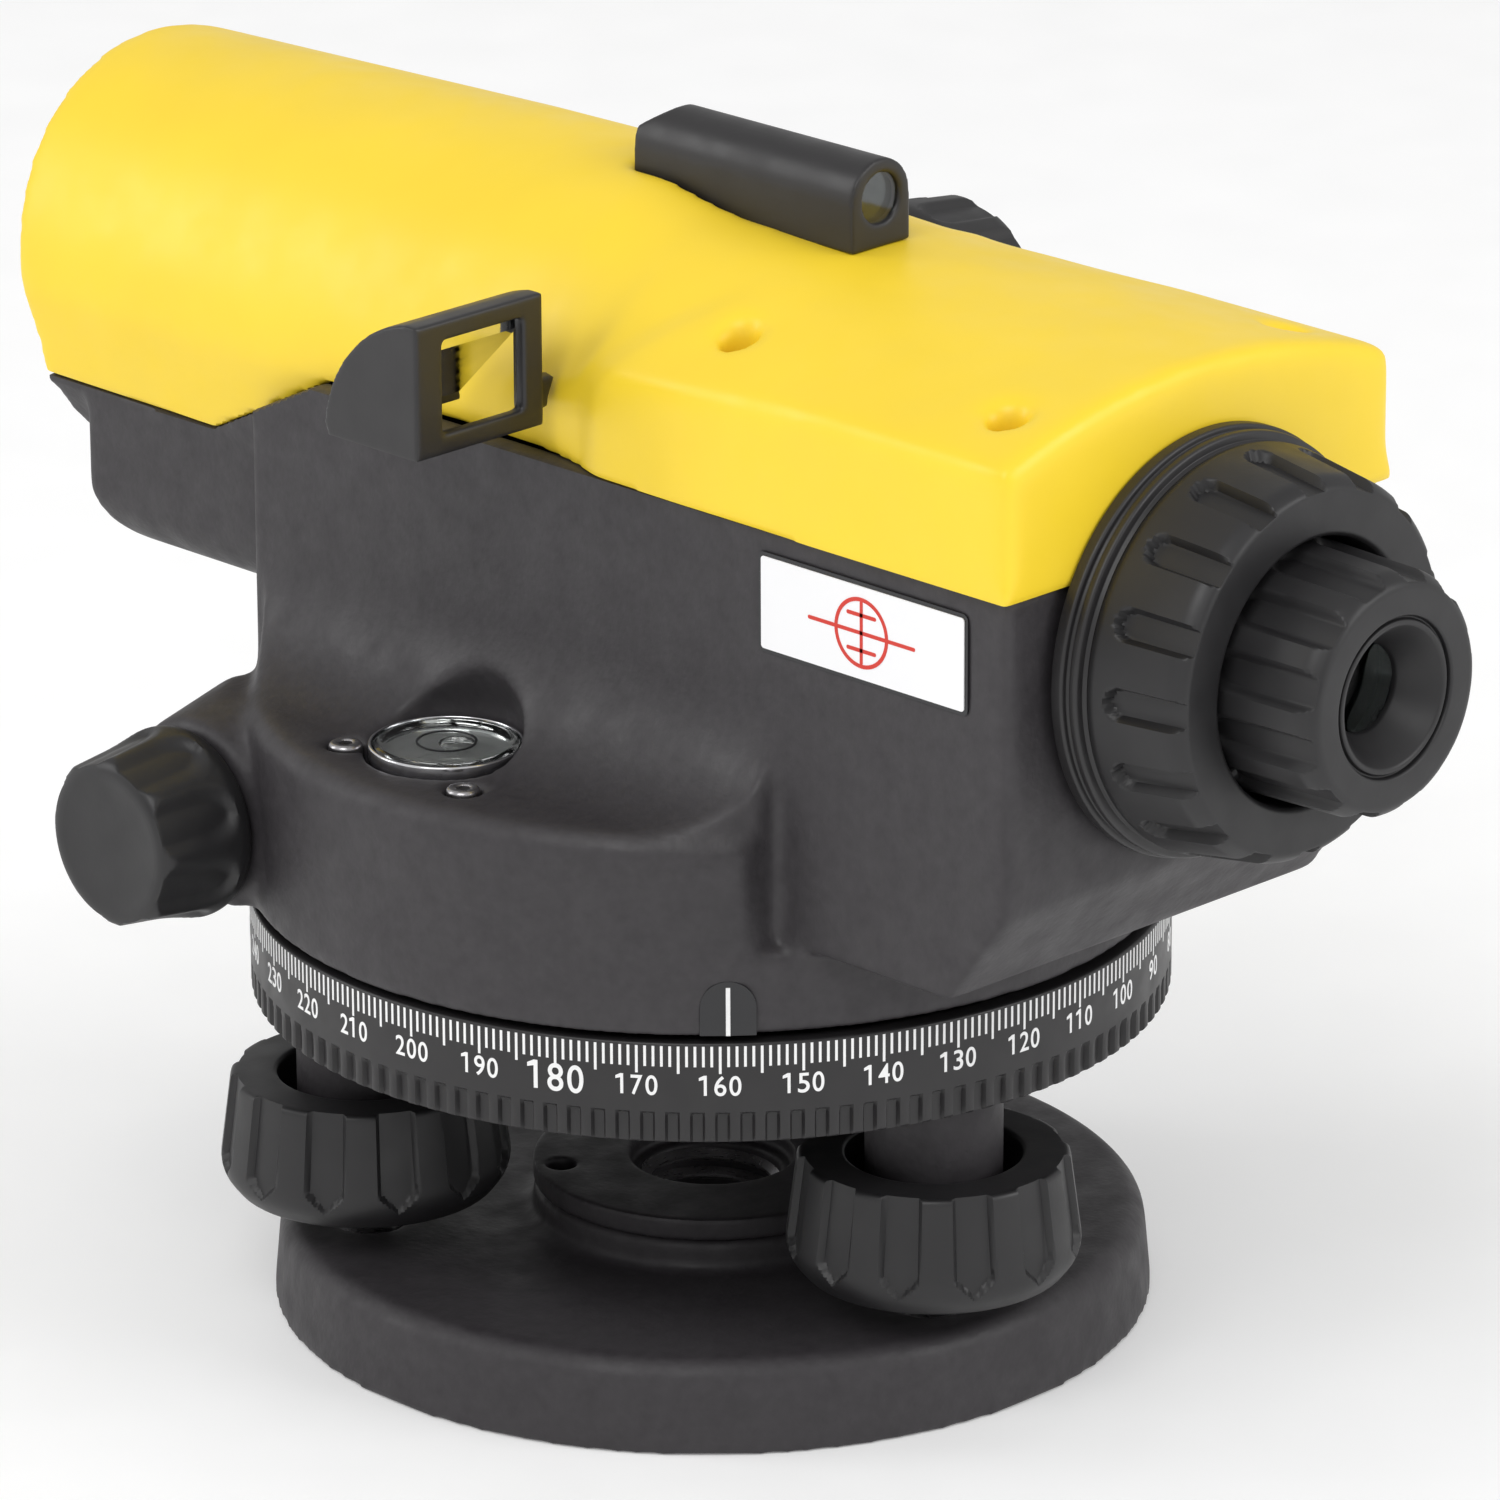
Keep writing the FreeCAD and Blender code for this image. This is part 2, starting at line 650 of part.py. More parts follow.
def top_cover():
    shell = cover_form().cut(cover_form(COVER_WALL))
    for place in cover_screw_places(PARTING_Z):
        post = cylinder(POST_R, FAR, place).common(cover_form())
        shell = shell.fuse(post)
    start = FOCUS_BOSS_X - 13.0
    shell = shell.fuse(cylinder(FOCUS_BOSS_R, FOCUS_BOSS_X - start, V(start, FOCUS_Y, FOCUS_Z), X_DIR))
    return shell.cut(cover_openings()).removeSplitter()


def cover_openings():
    """The hood's mouth, the joint, the screws' wells and the seats in the cover."""
    sight = block(-SIGHT_W, SIGHT_W, SIGHT_REAR_Y, SIGHT_FRONT_Y, CREST_Z - 2.4, SIGHT_TOP)
    openings = [cylinder(FOCUS_BUSH_R, FAR, V(0, FOCUS_Y, FOCUS_Z), X_DIR), raked_front(),
                below_parting(PARTING_GAP), sight,
                cylinder(EYE_TUBE_R, 20.0, V(0, COVER_REAR_Y - 5.0, EYE_Z), Y_DIR)]
    for place in cover_screw_places(SCREW_SEAT_Z):
        openings.append(cylinder(SCREW_HEAD_R + 0.1, FAR, place))
        openings.append(cylinder(SCREW_SHANK_R, SCREW_L, place - V(0, 0, SCREW_L)))
    return openings


def cover_screws():
    screws = []
    for place in cover_screw_places(SCREW_SEAT_Z):
        head = cylinder(SCREW_HEAD_R, 2.6, place)
        socket = cylinder(1.0, 1.4, place + V(0, 0, 1.2))
        shank = cylinder(SCREW_SHANK_R, SCREW_L, place - V(0, 0, SCREW_L))
        screws.append(fuse(head, shank).cut(socket))
    return Part.makeCompound(screws)


# Sight on the cover

def sight_body():
    arch_z = SIGHT_TOP - SIGHT_W
    length = SIGHT_FRONT_Y - SIGHT_REAR_Y
    base = block(-SIGHT_W, SIGHT_W, SIGHT_REAR_Y, SIGHT_FRONT_Y, CREST_Z - 2.4, arch_z)
    roof = cylinder(SIGHT_W, length, V(0, SIGHT_REAR_Y, arch_z), Y_DIR)
    body = fuse(base, roof)
    nose = prism_x([(SIGHT_FRONT_Y - 5.0, SIGHT_TOP + 1), (SIGHT_FRONT_Y + 1, SIGHT_TOP + 1),
                    (SIGHT_FRONT_Y + 1, SIGHT_TOP - 3.0)], -10, 10)
    body = body.cut(nose)
    return body.cut(cylinder(SIGHT_BORE_R, length, V(0, SIGHT_REAR_Y, arch_z), Y_DIR))


def sight_lenses():
    arch_z = SIGHT_TOP - SIGHT_W
    places = (SIGHT_FRONT_Y - 5.2, SIGHT_REAR_Y + 0.5)
    return Part.makeCompound([cylinder(SIGHT_BORE_R, 1.6, V(0, y, arch_z), Y_DIR) for y in places])


# Mirror

def mirror_profile(wall=0.0):
    """Side outline of the mirror housing: square behind, quarter round in front."""
    low = MIRROR_Z - (20.0 if wall else 0.0)
    rear = MIRROR_Y + wall
    top = MIRROR_TOP - wall
    front = MIRROR_Y + MIRROR_DEPTH - wall
    start = V(0, rear + 2.0, top)
    foot = V(0, front, MIRROR_Z + 1.5)
    middle = V(0, front - 3.6, top - 5.6)
    edges = [Part.makeLine(V(0, rear, low), V(0, rear, top)),
             Part.makeLine(V(0, rear, top), start),
             Part.Arc(start, middle, foot).toShape(),
             Part.makeLine(foot, V(0, front - 0.6, low)),
             Part.makeLine(V(0, front - 0.6, low), V(0, rear, low))]
    return Part.Face(Part.Wire(edges))


def mirror_housing():
    width = MIRROR_IN_X - MIRROR_X
    outer = mirror_profile().extrude(V(width, 0, 0))
    outer.translate(V(MIRROR_X, 0, 0))
    inner = mirror_profile(MIRROR_WALL).extrude(V(width, 0, 0))
    inner.translate(V(MIRROR_X + MIRROR_WALL, 0, 0))
    window = block(MIRROR_X + 4.0, MIRROR_IN_X - 3.0, MIRROR_Y - 1, MIRROR_Y + MIRROR_WALL + 1,
                   MIRROR_Z + MIRROR_BAR, MIRROR_TOP - MIRROR_BAR)
    shell = outer.cut(inner).cut(window)
    frame_back = MIRROR_Y + MIRROR_WALL
    rib = block(MIRROR_IN_X - 2.0, MIRROR_IN_X, frame_back, frame_back + 1.4,
                MIRROR_Z + 1.5, MIRROR_TOP - MIRROR_WALL)
    tab = block(MIRROR_IN_X, MIRROR_IN_X + MIRROR_TAB, MIRROR_Y + 0.7, frame_back + 1.4,
                MIRROR_Z + 1.5, MIRROR_TAB_TOP)
    return fuse(shell, rib, tab).cut(cover_form())


def mirror():
    """A plate at 45 degrees that shows the vial to the user."""
    top = (MIRROR_Y + MIRROR_WALL + 0.3, MIRROR_TOP - MIRROR_WALL - 0.3)
    run = 10.4
    low = (top[0] + run, top[1] - run)
    thickness = 1.0
    outline = [top, low, (low[0] - thickness, low[1] - thickness),
               (top[0], top[1] - 2 * thickness)]
    return prism_x(outline, MIRROR_X + MIRROR_WALL, MIRROR_IN_X - 2.1)


# Vial

def vial_cup():
    low = DRUM_TOP - VIAL_DEPTH
    cup = cylinder(VIAL_R, VIAL_DEPTH + VIAL_RISE, V(VIAL_X, VIAL_Y, low))
    well = cylinder(VIAL_GLASS_R, VIAL_DEPTH + VIAL_RISE, V(VIAL_X, VIAL_Y, low + 1.2))
    return cup.cut(well)


def vial_glass():
    low = DRUM_TOP - VIAL_DEPTH + 1.2
    top = DRUM_TOP + VIAL_RISE - 0.4
    glass = cylinder(VIAL_GLASS_R, top - low, V(VIAL_X, VIAL_Y, low))
    return glass.cut(cylinder(VIAL_GLASS_R - 1.2, 3.6, V(VIAL_X, VIAL_Y, top - 5.0)))


def vial_bubble():
    top = DRUM_TOP + VIAL_RISE - 2.2
    return cone(VIAL_BUBBLE_R - 0.5, VIAL_BUBBLE_R, 0.7, V(VIAL_X, VIAL_Y, top - 0.7))


def vial_screws():
    screws = []
    for place in vial_screw_places(DRUM_TOP - VIAL_SCREW_DEPTH):
        body = cylinder(VIAL_SCREW_R, VIAL_SCREW_DEPTH + 0.2, place)
        socket = cylinder(1.1, 1.6, place + V(0, 0, VIAL_SCREW_DEPTH - 1.4))
        screws.append(body.cut(socket))
    return Part.makeCompound(screws)


# Marks on the housing

def index_shape():
    """An arched block set into the drum's foot, standing a little proud."""
    low = HOUSING_Z + 0.2
    depth = 1.2
    out = DRUM_R + 0.25
    plate = block(out - depth, out, -INDEX_W / 2, INDEX_W / 2, low, low + INDEX_H - INDEX_W / 2)
    arch = cylinder(INDEX_W / 2, depth, V(out - depth, 0, low + INDEX_H - INDEX_W / 2), X_DIR)
    shape = fuse(plate, arch)
    shape.rotate(V(0, 0, 0), Z_DIR, INDEX_ANGLE)
    return shape


def type_plate():
    x = -TOWER_W + PLATE_T
    return block(x - PLATE_T - 0.2, x, PLATE_Y[0] + 0.1, PLATE_Y[1] - 0.1,
                 PLATE_Z[0] + 0.1, PLATE_Z[1] - 0.1)


# Objective

def objective_cell():
    length = OBJECTIVE_FRONT_Y - OBJECTIVE_REAR_Y
    outer = HOOD_R - COVER_WALL - 0.3
    cell = tube(outer, OBJECTIVE_R, length, V(0, OBJECTIVE_REAR_Y, OBJECTIVE_Z), Y_DIR)
    return cell


def objective_lens(y, bulge):
    """A lens disc with a convex front face of the given rise."""
    thickness = 3.0
    disc = cylinder(OBJECTIVE_R, thickness, V(0, y, OBJECTIVE_Z), Y_DIR)
    sphere_r = (OBJECTIVE_R ** 2 + bulge ** 2) / (2 * bulge)
    centre = V(0, y + thickness + bulge - sphere_r, OBJECTIVE_Z)
    cap = Part.makeSphere(sphere_r, centre)
    column = cylinder(OBJECTIVE_R, thickness + bulge, V(0, y, OBJECTIVE_Z), Y_DIR)
    return fuse(disc, cap.common(column))


def objective_retaining_ring():
    y = OBJECTIVE_REAR_Y + 12.0
    return tube(OBJECTIVE_R, OBJECTIVE_R - 1.6, 2.4, V(0, y, OBJECTIVE_Z), Y_DIR)


def telescope_tube():
    """The fixed tube behind the objective, slotted for the rack."""
    start = -6.0
    length = OBJECTIVE_REAR_Y - start
    body = tube(FOCUS_TUBE_R, FOCUS_TUBE_R - FOCUS_TUBE_WALL, length,
                V(0, start, OBJECTIVE_Z), Y_DIR)
    flange = tube(HOOD_R - COVER_WALL - 0.3, FOCUS_TUBE_R, 3.0,
                  V(0, OBJECTIVE_REAR_Y - 3.0, OBJECTIVE_Z), Y_DIR)
    slot = block(0, 20, -8, 44, OBJECTIVE_Z + 2.4, OBJECTIVE_Z + 7.6)
    return fuse(body, flange).cut(slot)


def focusing_cell():
    base = V(0, FOCUS_CELL_Y, OBJECTIVE_Z)
    cell = tube(FOCUS_CELL_R, FOCUS_CELL_R - 2.0, FOCUS_CELL_H, base, Y_DIR)
    low = FOCUS_Z + rack_height() + 0.5 + RACK_BACK
    arm = block(FOCUS_CELL_R - 2.9, RACK_X + RACK_W, FOCUS_CELL_Y, FOCUS_CELL_Y + 4.0,
                low, low + 1.6)
    arm = arm.cut(cylinder(FOCUS_CELL_R - 2.0, 2 * FOCUS_CELL_Y, V(0, 0, OBJECTIVE_Z), Y_DIR))
    return fuse(cell, arm)


def focusing_lens():
    base = V(0, FOCUS_CELL_Y + 4.0, OBJECTIVE_Z)
    disc = cylinder(FOCUS_CELL_R - 2.0, 3.6, base, Y_DIR)
    hollow = Part.makeSphere(30.0, base + V(0, 3.6 + 29.0, 0))
    return disc.cut(hollow)


def rack_height():
    """Height of the rack's pitch line over the pinion's axis."""
    return GEAR_MODULE * PINION_TEETH / 2


def tooth(width, height):
    """A small tapered tooth that points along +Z, centred on Y = 0."""
    return [(-width / 2, 0), (-width / 4, height), (width / 4, height), (width / 2, 0)]


def focusing_rack():
    pitch = math.pi * GEAR_MODULE
    back_z = FOCUS_Z + rack_height() + 0.5
    bar = block(RACK_X, RACK_X + RACK_W, -8.0, 34.0, back_z, back_z + RACK_BACK)
    teeth = []
    for i in range(RACK_TEETH):
        y = FOCUS_Y + (i - RACK_TEETH / 2 + 0.5) * pitch
        outline = [(y + dy, back_z - dz) for dy, dz in tooth(0.9, 0.9)]
        teeth.append(prism_x(outline, RACK_X, RACK_X + RACK_W))
    return fuse(bar, *teeth)


def focus_shaft():
    """Shaft and pinion in one; a tooth points straight up at rest."""
    root_r = rack_height() - 0.6
    centre = V(RACK_X - 0.4, FOCUS_Y, FOCUS_Z)
    pinion = cylinder(root_r, RACK_W + 0.8, centre, X_DIR)
    outline = [(FOCUS_Y + dy, FOCUS_Z + root_r - 0.1 + dz) for dy, dz in tooth(0.9, 1.05)]
    one = prism_x(outline, RACK_X - 0.4, RACK_X + RACK_W + 0.4)
    pinion = fuse(pinion, *around(one, PINION_TEETH, centre, X_DIR))
    start = RACK_X + RACK_W + 0.4
    shaft = cylinder(FOCUS_SHAFT_R, FOCUS_KNOB_X - 4.0 - start, V(start, FOCUS_Y, FOCUS_Z), X_DIR)
    return fuse(pinion, shaft)


def focus_bush():
    start = TOWER_W - CAST_WALL
    length = FOCUS_BOSS_X - start
    return tube(FOCUS_BUSH_R, FOCUS_SHAFT_R + RUN_FIT, length,
                V(start, FOCUS_Y, FOCUS_Z), X_DIR)


def focus_knob():
    start = FOCUS_BOSS_X + BODY_GAP
    end_r = FOCUS_KNOB_R - 1.4
    length = FOCUS_KNOB_X - start
    knob = cone(FOCUS_KNOB_R, end_r, length, V(start, FOCUS_Y, FOCUS_Z), X_DIR)
    shaft = cylinder(FOCUS_SHAFT_R, length - 4.0, V(start, FOCUS_Y, FOCUS_Z), X_DIR)
    flute = cylinder(1.8, length, V(start + 2, FOCUS_Y, FOCUS_Z + FOCUS_KNOB_R + 0.6), X_DIR)
    flutes = around(flute, FOCUS_FLUTES, V(start, FOCUS_Y, FOCUS_Z), X_DIR)
    return knob.cut(shaft).cut(Part.makeCompound(flutes))


# Compensator

def deviation_prism():
    """A fixed rhomboid that lowers the line of sight from objective to eyepiece."""
    drop = OBJECTIVE_Z - EYE_Z
    half = 7.0
    y = -9.0
    outline = [(y, OBJECTIVE_Z + half), (y, OBJECTIVE_Z - half), (y - 12, EYE_Z - half),
               (y - 12, EYE_Z + half + drop / 4)]
    return prism_x(outline, -half, half)


def compensator_frame():
    depth = 9.0
    outer = block(-COMP_W - 5, COMP_W + 5, COMP_Y - depth, COMP_Y + depth, 63.4, COMP_PIVOT_Z + 4)
    window = block(-COMP_W - 2.6, COMP_W + 2.6, COMP_Y - depth, COMP_Y + depth,
                   69.0, COMP_PIVOT_Z + 1.4)
    return outer.cut(window)


def compensator_pendulum():
    carrier = block(-COMP_W, COMP_W, COMP_Y - 5, COMP_Y + 5, EYE_Z - 14, COMP_PIVOT_Z - 5)
    window = block(-COMP_W + 2, COMP_W - 2, COMP_Y - 5, COMP_Y + 5, EYE_Z - 8, EYE_Z + 10)
    vane = block(-3, 3, COMP_Y - 1, COMP_Y + 1, 74.0, EYE_Z - 14)
    return fuse(carrier.cut(window), vane)


def pendulum_prism():
    w = COMP_W - 2
    return prism_x([(COMP_Y - 5, EYE_Z - 8), (COMP_Y + 5, EYE_Z - 8), (COMP_Y + 5, EYE_Z + 8),
                    (COMP_Y - 5, EYE_Z + 10)], -w, w)


def suspension_wires():
    """Four thin wires that carry the pendulum."""
    wires = []
    for x in (-7.0, 7.0):
        for y in (-3.0, 3.0):
            low = V(x, COMP_Y + y, COMP_PIVOT_Z - 5.0)
            wires.append(cylinder(0.2, 6.0, low))
    return Part.makeCompound(wires)


def damper_magnets():
    sides = []
    for y in (COMP_Y - 5.2, COMP_Y + 2.2):
        sides.append(block(-4, 4, y, y + 3.0, 69.0, 79.0))
    return Part.makeCompound(sides)


# Eyepiece end

def eyepiece_collar():
    """The fixed stepped flange on the rear wall, with the tube inside it."""
    collar = cylinder(COLLAR_R, COLLAR_H, V(0, COVER_REAR_Y - 0.2, EYE_Z), -Y_DIR)
    neck_start = COVER_REAR_Y + 19.0
    neck_end = EYE_KNOB_START_Y + EYE_TRAVEL + 2 * BODY_GAP
    neck = cylinder(EYE_TUBE_R, neck_start - neck_end, V(0, neck_start, EYE_Z), -Y_DIR)
    bore = cylinder(EYE_BARREL_R + RUN_FIT, 60.0, V(0, COVER_REAR_Y + 20, EYE_Z), -Y_DIR)
    return fuse(collar, neck).cut(bore)


def reticle_cover():
    """The big fluted ring that screws over the reticle's adjusting screws."""
    start = COVER_REAR_Y - 0.2 - COLLAR_H
    length = start - RING_END_Y
    ring = cone(RING_R, RING_END_R, length, V(0, start, EYE_Z), -Y_DIR)
    ring = ring.cut(cylinder(RING_HOLE_R, length, V(0, start, EYE_Z), -Y_DIR))
    flute = cylinder(1.7, length, V(0, start - 2.6, EYE_Z + RING_R - 0.1), -Y_DIR)
    return ring.cut(Part.makeCompound(around(flute, RING_FLUTES, V(0, start, EYE_Z), Y_DIR)))


def reticle_cell():
    return tube(EYE_BARREL_R, 6.0, 4.0, V(0, -57.0, EYE_Z), -Y_DIR)


def reticle_glass():
    return cylinder(6.0, 1.6, V(0, -58.0, EYE_Z), -Y_DIR)


def eyepiece_barrel():
    start = -66.0
    barrel = tube(EYE_BARREL_R, EYE_BARREL_BORE_R, start - EYE_KNOB_START_Y + 14.0,
                  V(0, start, EYE_Z), -Y_DIR)
    return barrel


def eyepiece_lenses():
    """Field lens and eye lens, in the two ends of the barrel."""
    field = cylinder(EYE_BARREL_BORE_R, 4.0, V(0, -74.0, EYE_Z), -Y_DIR)
    eye = cylinder(EYE_BARREL_BORE_R, 4.2, V(0, -91.5, EYE_Z), -Y_DIR)
    return Part.makeCompound([field, eye])


def eyepiece_knob():
    """Fluted knob on the barrel, with the eye hole in its end."""
    length = EYE_KNOB_START_Y - EYE_END_Y
    base = V(0, EYE_KNOB_START_Y, EYE_Z)
    lip = 1.6
    knob = cone(EYE_KNOB_R, EYE_KNOB_END_R, length - lip, base, -Y_DIR)
    end = cone(EYE_KNOB_END_R, EYE_KNOB_END_R - 2.4, lip, base - V(0, length - lip, 0), -Y_DIR)
    knob = knob.fuse(end)
    barrel_length = 14.0 + RUN_FIT
    knob = knob.cut(cylinder(EYE_BARREL_R + RUN_FIT, barrel_length, base, -Y_DIR))
    knob = knob.cut(cylinder(EYE_HOLE_R, length, base, -Y_DIR))
    flute = cylinder(1.5, length, base + V(0, -5.0, EYE_KNOB_R + 0.4), -Y_DIR)
    return knob.cut(Part.makeCompound(around(flute, EYE_FLUTES, base, Y_DIR)))


# Worm drive

def worm_shaft():
    length = 2 * (DRIVE_HUB_X + 8.0)
    start = V(-DRIVE_HUB_X - 8.0, DRIVE_Y, DRIVE_Z)
    shaft = cylinder(DRIVE_SHAFT_R, length, start, X_DIR)
    worm = cylinder(WORM_R, WORM_L, V(-WORM_L / 2, DRIVE_Y, DRIVE_Z), X_DIR)
    groove = tube(WORM_R, WORM_R - 0.9, 0.8, V(0, DRIVE_Y, DRIVE_Z), X_DIR)
    pitch = 1.6
    turns = int(WORM_L / pitch) - 1
    for i in range(turns):
        ring = groove.copy()
        ring.translate(V((i - (turns - 1) / 2) * pitch - 0.4, 0, 0))
        worm = worm.cut(ring)
    return fuse(shaft, worm)


def drive_bushes():
    start = -DRIVE_HUB_X
    one = tube(DRIVE_BUSH_R, DRIVE_SHAFT_R + RUN_FIT, 9.0, V(start, DRIVE_Y, DRIVE_Z), X_DIR)
    return Part.makeCompound([one, mirrored(one)])


def drive_knob():
    start = -DRIVE_HUB_X - BODY_GAP
    base = V(start, DRIVE_Y, DRIVE_Z)
    round_h = 1.8
    knob = cone(DRIVE_KNOB_R, DRIVE_KNOB_END_R, DRIVE_KNOB_L - round_h, base, -X_DIR)
    end_base = base - V(DRIVE_KNOB_L - round_h, 0, 0)
    knob = knob.fuse(cone(DRIVE_KNOB_END_R, DRIVE_KNOB_END_R - 2.2, round_h, end_base, -X_DIR))
    flute = cylinder(2.0, DRIVE_KNOB_L, base + V(-1.5, 0, DRIVE_KNOB_R + 1.1), -X_DIR)
    knob = knob.cut(Part.makeCompound(around(flute, 8, base, X_DIR)))
    return knob.cut(cylinder(DRIVE_SHAFT_R, 8.0 - BODY_GAP, base, -X_DIR))


def worm_wheel():
    """The wheel on the vertical axis that the worm turns against."""
    outer = DRIVE_Y - WORM_R - BODY_GAP
    low = DRIVE_Z - WHEEL_H / 2
    wheel = tube(outer, WHEEL_BORE_R + RUN_FIT, WHEEL_H, V(0, 0, low))
    windows = around(cylinder(5.0, WHEEL_H, V(21.0, 0, low)), 6)
    return wheel.cut(Part.makeCompound(windows))


def all_parts():
    shapes = {
        "base_plate": base_plate(),
        "tripod_thread_bush": tripod_thread_bush(),
        "spring_plate": spring_plate(),
        "spring_plate_screws": spring_plate_screws(),
        "levelling_head": levelling_head(),
        "axis_bearing": axis_bearing(),
        "axis_spindle": axis_spindle(),
        "axis_nut": axis_nut(),
        "circle_ring": circle_ring(),
        "circle_friction_washer": circle_friction_washer(),
        "housing": housing(),
        "top_cover": top_cover(),
        "cover_screws": cover_screws(),
        "sight_body": sight_body(),
        "sight_lenses": sight_lenses(),
        "mirror_housing": mirror_housing(),
        "mirror": mirror(),
        "vial_cup": vial_cup(),
        "vial_glass": vial_glass(),
        "vial_bubble": vial_bubble(),
        "vial_screws": vial_screws(),
        "index_plate": index_shape(),
        "type_plate": type_plate(),
        "objective_cell": objective_cell(),
        "objective_front_lens": objective_lens(OBJECTIVE_REAR_Y + 7.0, 1.8),
        "objective_rear_lens": objective_lens(OBJECTIVE_REAR_Y + 1.6, 1.2),
        "objective_retaining_ring": objective_retaining_ring(),
        "telescope_tube": telescope_tube(),
        "focusing_cell": focusing_cell(),
        "focusing_lens": focusing_lens(),
        "focusing_rack": focusing_rack(),
        "focus_shaft": focus_shaft(),
        "focus_bush": focus_bush(),
        "focus_knob": focus_knob(),
        "deviation_prism": deviation_prism(),
        "compensator_frame": compensator_frame(),
        "compensator_pendulum": compensator_pendulum(),
        "pendulum_prism": pendulum_prism(),
        "suspension_wires": suspension_wires(),
        "damper_magnets": damper_magnets(),
        "eyepiece_collar": eyepiece_collar(),
        "reticle_cover": reticle_cover(),
        "reticle_cell": reticle_cell(),
        "reticle_glass": reticle_glass(),
        "eyepiece_barrel": eyepiece_barrel(),
        "eyepiece_lenses": eyepiece_lenses(),
        "eyepiece_knob": eyepiece_knob(),
        "worm_shaft": worm_shaft(),
        "drive_bushes": drive_bushes(),
        "drive_knobs": Part.makeCompound([drive_knob(), mirrored(drive_knob())]),
        "worm_wheel": worm_wheel(),
    }
    for key in FOOT_ANGLES:
        shapes["foot_ball_" + key] = foot_ball(key)
        shapes["foot_spindle_" + key] = foot_spindle(key)
        shapes["foot_knob_" + key] = foot_knob(key)
    return shapes


def main():
    os.makedirs("parts", exist_ok=True)
    for name, shape in all_parts().items():
        shape.exportStep("parts/" + name + ".step")
        box = shape.BoundBox
        sizes = [round(v, 1) for v in (box.XMin, box.XMax, box.YMin, box.YMax, box.ZMin, box.ZMax)]
        print(name, shape.isValid(), len(shape.Solids), round(shape.Volume, 1), sizes)


main()
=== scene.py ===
"""Looks of the automatic level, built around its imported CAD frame.

Metres and +Z up in the frame; the turned and cut sections below are in millimetres.
The telescope points along +Y, the eyepiece is at -Y, and the mirror is on the -X side.
"""
import json
import math

import bmesh
import bpy
import numpy as np
from mathutils import Matrix, Vector


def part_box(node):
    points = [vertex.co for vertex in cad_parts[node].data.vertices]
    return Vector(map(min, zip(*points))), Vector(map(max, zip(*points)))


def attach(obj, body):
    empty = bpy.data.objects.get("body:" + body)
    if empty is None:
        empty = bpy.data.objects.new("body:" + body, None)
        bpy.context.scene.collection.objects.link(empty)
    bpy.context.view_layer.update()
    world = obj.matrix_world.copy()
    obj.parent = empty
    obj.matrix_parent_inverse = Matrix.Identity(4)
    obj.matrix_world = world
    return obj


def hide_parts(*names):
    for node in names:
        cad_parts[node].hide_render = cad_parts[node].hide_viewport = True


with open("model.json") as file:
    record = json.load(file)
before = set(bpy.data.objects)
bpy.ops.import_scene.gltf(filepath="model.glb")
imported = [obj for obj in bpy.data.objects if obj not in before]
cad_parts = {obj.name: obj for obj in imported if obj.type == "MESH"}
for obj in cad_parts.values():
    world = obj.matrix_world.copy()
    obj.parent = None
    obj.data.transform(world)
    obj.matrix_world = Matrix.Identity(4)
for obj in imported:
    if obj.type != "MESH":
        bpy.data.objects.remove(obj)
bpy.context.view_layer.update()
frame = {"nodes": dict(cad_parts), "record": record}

MM = 0.001
TAU = 2 * math.pi
AXIS_ORDER = {"x": (2, 0, 1), "y": (1, 2, 0), "z": (0, 1, 2)}
COARSE = 1.0
NODES = frame["nodes"]
DRIVE_LENGTH = 12.6


# ---------------------------------------------------------------- finishes

